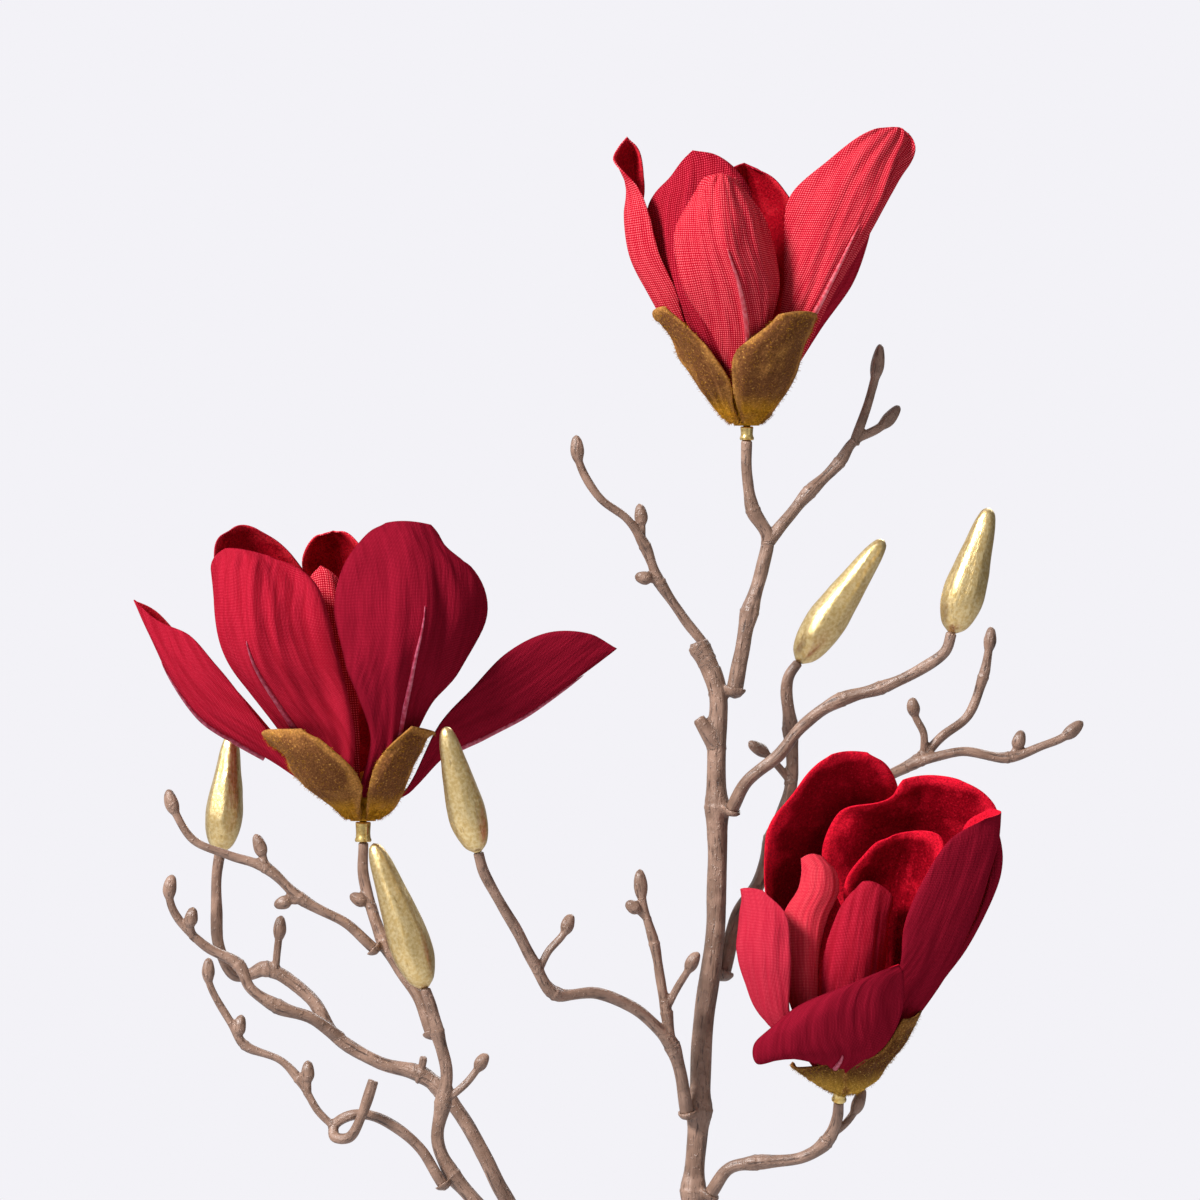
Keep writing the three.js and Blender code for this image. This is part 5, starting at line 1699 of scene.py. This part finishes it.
def top_bloom(stems: dict[str, Moulding]) -> Bloom:
    """The bloom at the top: half closed, with one petal that curls over at the left."""
    return Bloom(
        "top_bloom",
        stems["top_spray"],
        socket=(2.2, 4.6),
        throat=(7.5, 14),
        calyx=(10.5, 6),
        petals=[
            Leaf("back", 0, 92, 38, [
                ((13, 12, 38), (0, 20, 38), (-12, 12, 38)),
                ((17, 10, 60), (0, 22, 60), (-16, 10, 60)),
                ((16, 8, 72), (0, 20, 74), (-15, 8, 72)),
                ((11.5, 8, 80.5), (-0.5, 16, 83), (-10, 8, 81)),
                ((5, 10, 86.3), (-0.6, 13, 87.4), (-5.5, 10, 86.3)),
                tip(-0.6, 12, 88.6),
            ], seed=1.1),
            Leaf("back_left", 1, 232, 34, [
                ((-18, -7, 28), (-12, -14, 28), (-4, -16, 28)),
                ((-26.5, -7, 44), (-17, -16, 44), (-3, -18, 44)),
                ((-31, -5, 58), (-19, -15, 60), (0, -17, 60)),
                ((-33, -2, 70.5), (-18, -13, 74), (1.7, -14, 76.5)),
                ((-30.5, -3, 78), (-17, -12, 82), (-2.9, -13, 84.5)),
                ((-25, -6, 84.5), (-17, -11, 87.8), (-8.2, -12, 88.9)),
                tip(-18.2, -10, 91.7),
            ], Dye.SCARLET, crease=0.8, seed=2.2),
            Leaf("front", 2, 262, 28, [
                ((-11, -18, 28), (0, -23, 28), (7, -19, 28)),
                ((-21.5, -22, 45), (-3, -32, 46), (11, -22, 46)),
                ((-24, -23, 59), (-7, -35, 58), (10.6, -22, 57)),
                ((-22.5, -23, 69), (-9, -34, 69), (7, -22, 68)),
                ((-18, -23, 77.5), (-9.5, -31, 78.5), (0, -22, 78)),
                ((-14.5, -24, 81), (-9.4, -29, 82.2), (-4, -23.5, 81.4)),
                tip(-9.3, -26, 83.5),
            ], Dye.CORAL, ridge=(0.2, 0.5), crease=1.3, seed=3.3),
            Leaf("right", 2, 324, 30, [
                ((8.5, -14, 28), (16, -15, 28), (19, -5, 28)),
                ((11, -17, 45), (25, -22, 43), (27, -7, 45)),
                ((11.5, -18, 60), (33, -25, 59), (36, -8, 60)),
                ((13.5, -18, 76), (40.5, -24, 74), (44, -9, 74)),
                ((27, -17, 89), (46, -19, 87), (50, -10, 85)),
                ((40, -16, 97.6), (50.5, -14, 96), (54.6, -11, 92.5)),
                ((46, -14, 99), (51, -13.5, 98.6), (54, -12, 96.5)),
                tip(50.5, -13, 99.2),
            ], Dye.CORAL, ridge=(0.24, 0.5), crease=1.2, seed=4.4),
            Leaf("back_right", 3, 31, 30, [
                ((21, -2, 32), (24, 6, 32), (17, 15, 32)),
                ((30, -3, 48), (35, 8, 48), (25, 17, 48)),
                ((36.5, -2, 64), (40.5, 8, 64), (30, 16, 64)),
                ((40, 0, 75), (41.5, 8, 76), (35, 12, 76)),
                tip(40, 7, 82),
            ], seed=5.5),
            Leaf("left_curled", 3, 190, 28, [
                ((-21, 6, 31), (-25, -3, 30), (-20, -10, 31)),
                ((-28, 6, 45), (-33, -5, 44), (-24, -12.5, 45)),
                ((-34, 6, 58), (-39, -5, 56), (-29.5, -13.5, 57)),
                ((-35.5, 7, 71), (-41, -4, 70), (-33, -12, 71)),
                ((-34.3, 6, 79), (-40.5, 0, 77), (-36, -10, 78)),
                ((-35, 2, 89.5), (-40, 5, 89.5), (-45, -4, 88.5)),
                ((-37, 1, 94), (-40, 2, 94), (-43, -2, 93)),
                tip(-40, 0, 96.8),
            ], Dye.CORAL, ruffle=0.3, crease=0.3, seed=6.6),
        ],
        sepals=[
            Leaf("left", 0, 205, 38, [
                ((-16.5, -4, 14), (-14, -12, 14), (-6, -16, 14.5)),
                ((-21.5, -6, 22), (-18, -15, 23), (-12.5, -19, 24.5)),
                ((-26, -6, 31), (-25, -15, 32), (-20, -19, 32.5)),
                ((-30.5, -8, 35), (-31.5, -13, 38), (-28, -17, 39.5)),
            ], ruffle=0.5, seed=0.3),
            Leaf("right", 0, 292, 40, [
                ((-5, -17, 14), (7, -19, 13), (14.5, -9, 14)),
                ((-4, -24, 24), (9, -26, 23), (18.5, -13, 24)),
                ((4, -28, 31), (14, -28, 31), (21, -18, 31)),
                ((10, -29, 36.5), (17, -28, 37.5), (23, -22, 36.8)),
            ], ruffle=0.5, seed=1.3),
            Leaf("back", 0, 82, 52, [
                ((11, 11, 15), (0, 19, 15), (-12, 9, 15)),
                ((11, 18, 28), (0, 26, 28), (-12, 17, 28)),
                ((7, 23, 36), (0, 28, 38), (-6, 23, 36)),
            ], ruffle=0.5, seed=2.3),
        ],
    )


def left_bloom(stems: dict[str, Moulding]) -> Bloom:
    """The open bloom on the left, with two petals spread wide like boats."""
    return Bloom(
        "left_bloom",
        stems["left_bloom_stem"],
        socket=(2.6, 6.7),
        throat=(9, 11),
        calyx=(11, 5),
        petals=[
            Leaf("inner", 0, 235, 28, [
                ((-13, -5, 30), (-8, -11, 30), (-1, -11, 30)),
                ((-19, -5, 55), (-10, -13, 55), (-3, -9, 55)),
                ((-21, -4, 72), (-12, -12, 74), (-5, -8, 72)),
                ((-18.5, -6, 81), (-13, -11, 83.5), (-8, -8, 81)),
                tip(-14, -9, 85.5),
            ], Dye.CORAL, seed=1.4),
            Leaf("back_left", 1, 150, 34, [
                ((-9, 18, 28), (-20, 14, 28), (-24, 3, 28)),
                ((-12, 22, 50), (-32, 17, 50), (-38, 2, 50)),
                ((-14, 22, 68), (-37, 18, 68), (-46, 0, 68)),
                ((-18, 18, 80), (-39, 16, 82), (-49.5, 0, 82)),
                ((-24, 13, 89.5), (-40, 12, 94), (-49.3, 0, 92)),
                ((-36, 10, 98), (-40.5, 9, 99.2), (-44, 6, 98)),
            ], seed=2.4),
            Leaf("back", 1, 78, 34, [
                ((18, 12, 32), (2, 23, 32), (-9, 20, 32)),
                ((20, 14, 60), (-2, 30, 60), (-14, 25, 60)),
                ((12, 12, 78), (-6, 27, 80), (-20, 22, 78)),
                ((2, 8, 90), (-9, 21, 91), (-21, 17, 89)),
                ((-5, 10, 95.5), (-10.5, 15, 96.5), (-16.5, 15, 94.8)),
                tip(-10.5, 13, 97.3),
            ], Dye.CORAL, seed=3.4),
            Leaf("front_left", 2, 222, 34, [
                ((-25, -6, 28.5), (-20, -19, 29), (-2, -22, 28)),
                ((-36, -7, 42), (-29, -26, 42), (-4.5, -25.5, 41)),
                ((-46, -6, 55), (-36, -31, 55), (-8, -27, 54)),
                ((-50.5, -5, 69), (-39, -31, 69), (-11.5, -26, 68)),
                ((-50.9, -7, 83), (-39, -26, 83), (-17, -22, 79.5)),
                ((-49, -11, 88.5), (-38.5, -22, 88), (-24, -20, 86)),
                ((-45.4, -14, 91.2), (-39.2, -18, 90.8), (-30.5, -19, 88.6)),
            ], ridge=(0.22, 0.55), crease=1.6, seed=4.4),
            Leaf("front", 2, 300, 34, [
                ((3, -21, 28), (12, -21, 27), (17, -8, 28)),
                ((-1, -28, 42), (15, -30, 41), (23, -13, 40)),
                ((-5.5, -31, 54), (18, -36, 54), (32, -16, 51)),
                ((-8.8, -30, 70), (21, -35, 70), (40, -14, 69)),
                ((-5, -26, 86), (20, -29, 86), (36, -15, 85)),
                ((1.5, -22, 95.5), (17, -24, 95), (29, -16, 92.5)),
                ((8, -20.5, 99.6), (15, -21, 100.2), (23, -17.5, 99)),
            ], Dye.WINE, ruffle=1.1, ridge=(0.22, 0.64), crease=1.5, seed=5.4),
            Leaf("left_open", 3, 181, 20, [
                ((-28, 9, 26), (-30, -1, 19.5), (-27, -11, 25)),
                ((-40, 10, 40), (-42, -3, 26), (-38, -14, 39)),
                ((-52, 10, 53), (-54, -4, 34), (-48, -15, 52)),
                ((-62, 7, 62), (-63, -5, 46), (-57.5, -14, 62)),
                ((-69, 1, 70), (-71, -5, 62), (-68, -9, 67)),
                tip(-76.4, -5, 74),
            ], ridge=(0.32, 0.78), neck=(15.5, 10), seed=6.4),
            Leaf("right_open", 3, 352, 20, [
                ((26, -11, 33), (28, -2, 22.5), (26, 9, 29)),
                ((36, -13, 44), (40, -3, 28.5), (38, 10, 41)),
                ((48, -13, 56.5), (54, -4.5, 35.5), (52, 11, 54)),
                ((62, -10, 63.3), (67, -5, 44), (65, 8, 60)),
                ((76, -8, 62.7), (77.5, -5, 52), (77, 2, 60)),
                tip(84.7, -5, 57.8),
            ], Dye.WINE, ridge=(0.32, 0.8), neck=(15.5, 10), seed=7.4),
        ],
        sepals=[
            Leaf("left", 0, 222, 44, [
                ((-19, -7, 12), (-14, -17, 11), (0, -20, 12.5)),
                ((-24, -11, 18), (-18, -22, 18), (-4, -25, 19)),
                ((-28, -11, 24), (-24, -24, 24.5), (-12, -27, 26.5)),
                ((-33, -14, 29), (-31, -20, 31), (-20, -26, 31.2)),
            ], ruffle=0.6, seed=3.3),
            Leaf("right", 0, 308, 31, [
                ((2.5, -20, 12.5), (9.5, -17, 11), (14, -10.5, 12)),
                ((5, -25, 20), (13, -22, 19), (17, -11, 20)),
                ((10, -27, 26), (17, -23, 25.5), (20, -14, 26)),
                ((17, -26, 32), (22, -21, 31), (24.5, -17, 29.5)),
            ], ruffle=0.6, seed=4.3),
            Leaf("back", 0, 80, 50, [
                ((14, 12, 13), (1, 21, 13), (-14, 12, 13)),
                ((13, 20, 24), (0, 29, 25), (-12, 21, 24)),
                ((7, 26, 31), (0, 31, 33), (-7, 26, 31)),
            ], ruffle=0.6, seed=5.3),
        ],
    )


def right_bloom(stems: dict[str, Moulding]) -> Bloom:
    """The full bloom on the right, which opens towards the viewer."""
    return Bloom(
        "right_bloom",
        stems["right_bloom_branch"],
        socket=(2.3, 4.7),
        throat=(7, 13),
        calyx=(11.5, 5.6),
        velvet_rims=True,
        petal_velvet=PETAL_VELVET,
        calyx_velvet=GLITTER_VELVET,
        petals=[
            Leaf("inner", 0, 285, 34, [
                ((-6.5, -16, 30), (3, -20, 29), (12, -16, 30)),
                ((-5.7, -18, 45), (5, -23, 45), (15, -17, 46)),
                ((-2, -17, 57), (7, -21, 57), (16.2, -16, 57)),
                ((2.5, -16, 65), (9, -18, 66), (17, -15, 64)),
                ((7, -15, 69), (10, -16, 69), (13, -15, 67.8)),
            ], ruffle=0.3, crease=0.3, seed=1.6),
            Leaf("inner_right", 1, 40, 34, [
                ((20, -12, 35), (15, -3, 35), (5, -3, 35)),
                ((27, -17, 55), (17, -6, 56), (2, -9, 55)),
                ((31, -19, 70), (20, -9, 71), (2, -13, 68)),
                ((33, -20, 81), (22, -13, 80), (9, -16, 77.5)),
                ((29, -19, 84.6), (23, -16, 84.8), (17, -17, 82.8)),
            ], curl=1.4, seed=2.6),
            Leaf("inner_left", 1, 215, 28, [
                ((-17, -12, 28), (-12, -17, 28), (-7.5, -16, 28)),
                ((-19, -14, 44), (-12, -19, 44), (-7, -16, 44)),
                ((-19, -14, 58), (-11, -18, 58), (-4.2, -15, 57)),
                ((-14.3, -14, 67), (-7, -17, 67), (-0.5, -13, 66)),
                ((-12.8, -13, 73), (-7, -15, 74), (-2, -12, 72.5)),
                ((-13.3, -12, 76.3), (-9.5, -13, 78), (-5.5, -12, 76.6)),
            ], Dye.SALMON, ruffle=0.3, crease=0.3, seed=3.6),
            Leaf("back_right", 2, 42, 34, [
                ((29, -9, 38), (23, 3, 38), (9, 5, 38)),
                ((42, -12, 62), (28, 4, 64), (0, 2, 62)),
                ((48, -14, 78), (29, 1, 82), (-5, -4, 77)),
                ((50, -15, 88), (28, -4, 93), (0, -7, 87.5)),
                ((47, -15, 95), (30, -7, 99), (14.5, -9, 94)),
                ((38, -13, 100.5), (30, -10, 102.3), (21.5, -11, 101)),
            ], ruffle=1.0, curl=2.2, seed=4.6),
            Leaf("back", 2, 118, 34, [
                ((4, 9, 38), (-10, 11, 38), (-20, 0, 38)),
                ((8, 10, 66), (-8, 10, 66), (-24, -5, 65)),
                ((14, 5, 84), (-4, 6, 85), (-23, -9, 80)),
                ((18, -2, 97), (-1, -1, 98), (-18, -11, 91.5)),
                ((15.4, -6, 104.2), (1, -5, 105), (-12, -12, 102)),
                ((8, -9, 109.5), (3.5, -9, 110.3), (-2, -11, 109)),
            ], ruffle=1.0, curl=2.2, seed=5.6),
            Leaf("left", 3, 197, 28, [
                ((-25, -3, 27), (-25, -15, 23), (-17, -23, 25)),
                ((-31, -6, 37), (-29, -21, 36), (-17, -27, 37)),
                ((-34.5, -9, 47), (-30, -24, 47), (-17, -29, 48)),
                ((-33.5, -12, 57), (-29, -23, 58), (-18.5, -28, 58.5)),
                ((-33.3, -16, 66.5), (-30.5, -19, 67), (-26, -22, 66.3)),
            ], Dye.ROSE, seed=6.6),
            Leaf("right", 3, 322, 30, [
                ((15, -25, 28), (26, -20, 27), (26, -8, 28)),
                ((19, -31, 43), (36.5, -25, 43), (32, -10, 44)),
                ((20, -34, 55), (43, -27, 57), (36, -11, 58)),
                ((25, -35, 68), (48, -27, 70), (38, -13, 73)),
                ((35, -34, 83), (51.5, -25, 82), (41, -16, 88)),
                ((47, -29, 90), (52.3, -23, 91.8), (49, -18, 93)),
            ], Dye.WINE, seed=7.6),
            Leaf("right_outer", 4, 22, 23, [
                ((28, -6, 29), (29, 2, 30), (21, 9, 30)),
                ((39, -7, 45), (41, 1, 47), (31, 10, 47)),
                ((47, -9, 62), (50, -3, 64), (41, 8, 64)),
                ((50.5, -11, 76), (53, -7, 76), (46, 3, 76)),
                tip(51, -11, 90),
            ], Dye.WINE, seed=8.6),
            Leaf("front", 4, 257, 24, [
                ((-19, -23, 11), (0, -30, 12.5), (14, -27, 15.5)),
                ((-28, -25, 9.5), (-2, -34, 19), (19, -32, 25)),
                ((-29, -26, 16.5), (-2, -37, 27), (20, -34, 33)),
                ((-18, -27, 26), (1, -38, 34.5), (19.5, -36, 39.5)),
                ((1, -29, 35), (10, -37, 39.5), (18.5, -36.5, 42.5)),
            ], Dye.WINE, ridge=(0.2, 0.33), neck=(15, 15), seed=9.6),
        ],
        sepals=[
            Leaf("left", 0, 231, 47, [
                ((-13.5, -8, 6), (-9, -19, 6), (2, -20.5, 8)),
                ((-16.5, -12, 9), (-14, -20, 7.5), (-2, -22, 10)),
            ], ruffle=0.4, seed=6.3),
            Leaf("right", 0, 314, 38, [
                ((0, -20.5, 8), (11, -20, 8.5), (16, -9, 9.5)),
                ((12, -25, 13), (17.5, -23, 13.5), (20.5, -13, 15)),
                ((20, -30, 24), (24, -26, 24.5), (26.5, -19, 26.5)),
            ], ruffle=0.4, seed=7.3),
            Leaf("back", 0, 91, 42, [
                ((15, 8, 16), (1, 17, 19), (-14, 8, 16)),
                ((11, 17, 28), (0, 23, 31), (-11, 17, 28)),
            ], ruffle=0.4, seed=8.3),
        ],
    )


# Studio


@dataclass
class Studio:
    """The camera, the soft lights, and the pale floor and background."""

    centre: Point = (-31 * MM, 0.0, 663 * MM)
    view_width: float = 400 * MM
    distance: float = 3.0
    floor_size: float = 6.0
    background: int = 0xF3F2F7
    room_low: int = 0x8A8580
    room_high: int = 0xE8E8EC
    room_power: tuple[float, float, float, float] = (0.42, 0.42, 0.43, 1.0)
    room_reach: tuple[float, float] = (-0.7, 0.8)
    mirrored_power: tuple[float, float] = (1.25, 0.3)

    def make(self) -> None:
        """Builds the whole studio."""
        self.make_camera()
        self.make_lights()
        self.make_world()
        self.make_floor()

    def make_camera(self) -> None:
        """A level camera, far off, as the photograph's."""
        data = bpy.data.cameras.new("camera")
        data.sensor_width = 36.0
        data.sensor_fit = "HORIZONTAL"
        data.lens = data.sensor_width * self.distance / self.view_width
        data.clip_end = 50.0
        camera = bpy.data.objects.new("camera", data)
        camera.location = (self.centre[0], -self.distance, self.centre[2])
        camera.rotation_euler = (math.pi / 2, 0, 0)
        bpy.context.scene.collection.objects.link(camera)
        bpy.context.scene.camera = camera

    def make_lights(self) -> None:
        """A soft key from the upper left, a weak fill from the right and a little light from behind."""
        self.add_light("key", (-1.4, -1.15, 1.9), size=0.5, power=76.0)
        self.add_light("fill", (1.4, -1.4, 0.8), size=1.4, power=2.5)
        self.add_light("rim", (0.5, 1.3, 1.6), size=0.8, power=10.0)

    def add_light(self, name: str, place: Point, size: float, power: float) -> None:
        """Adds an area light that faces the stem.

        Args:
            name: the light's name.
            place: where it stands, in metres.
            size: its side, in metres.
            power: its power in watts.
        """
        data = bpy.data.lights.new(name, "AREA")
        data.shape = "SQUARE"
        data.size = size
        data.energy = power
        light = bpy.data.objects.new(name, data)
        light.location = place
        light.rotation_euler = (Vector(place) - Vector(self.centre)).to_track_quat("Z", "Y").to_euler()
        bpy.context.scene.collection.objects.link(light)

    def make_world(self) -> None:
        """A soft room light that the camera sees as the plain pale background."""
        world = bpy.data.worlds.new("studio")
        world.use_nodes = True
        tree = world.node_tree
        tree.nodes.clear()
        seen = add_node(tree, "ShaderNodeLightPath").outputs
        clear = combine(tree, "MAXIMUM", seen["Is Camera Ray"], seen["Is Transmission Ray"])
        way = add_node(tree, "ShaderNodeSeparateXYZ", {0: coordinate(tree, "Generated")}).outputs
        climb = spread(tree, way["Z"], *self.room_reach)
        tone = mixed(tree, climb, srgb(self.room_low), srgb(self.room_high))
        mirrored = remapped(tree, way["X"], self.room_reach, self.mirrored_power)
        power = mixed(tree, seen["Is Glossy Ray"], self.room_power, mirrored)
        room = add_node(tree, "ShaderNodeBackground", {"Color": tone, "Strength": power})
        back = add_node(tree, "ShaderNodeBackground", {"Color": srgb(self.background), "Strength": 1.0})
        both = add_node(tree, "ShaderNodeMixShader", {0: clear, 1: room.outputs[0], 2: back.outputs[0]})
        add_node(tree, "ShaderNodeOutputWorld", {"Surface": both.outputs[0]})
        bpy.context.scene.world = world

    def make_floor(self) -> None:
        """A pale floor at the stem's cut end."""
        shape = bmesh.new()
        bmesh.ops.create_grid(shape, x_segments=2, y_segments=2, size=self.floor_size / 2)
        floor = link_mesh("studio_floor", shape, smooth=False)
        floor.data.materials.append(StudioPaper().material())


def main() -> None:
    """Builds the stem, dresses it and sets up the studio."""
    logging.basicConfig(level=logging.INFO, format="%(message)s")
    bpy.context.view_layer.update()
    bpy.context.scene.view_settings.view_transform = "Standard"
    stems = build_mouldings()
    for moulding in stems.values():
        moulding.make()
    wire = frame["nodes"]["core_wire"]
    wire.data.materials.clear()
    wire.data.materials.append(STEEL.material())
    for bud in build_buds(stems):
        bud.make()
    for bloom in (top_bloom(stems), left_bloom(stems), right_bloom(stems)):
        bloom.make()
    Studio().make()
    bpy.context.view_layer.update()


if __name__ == "__main__":
    main()
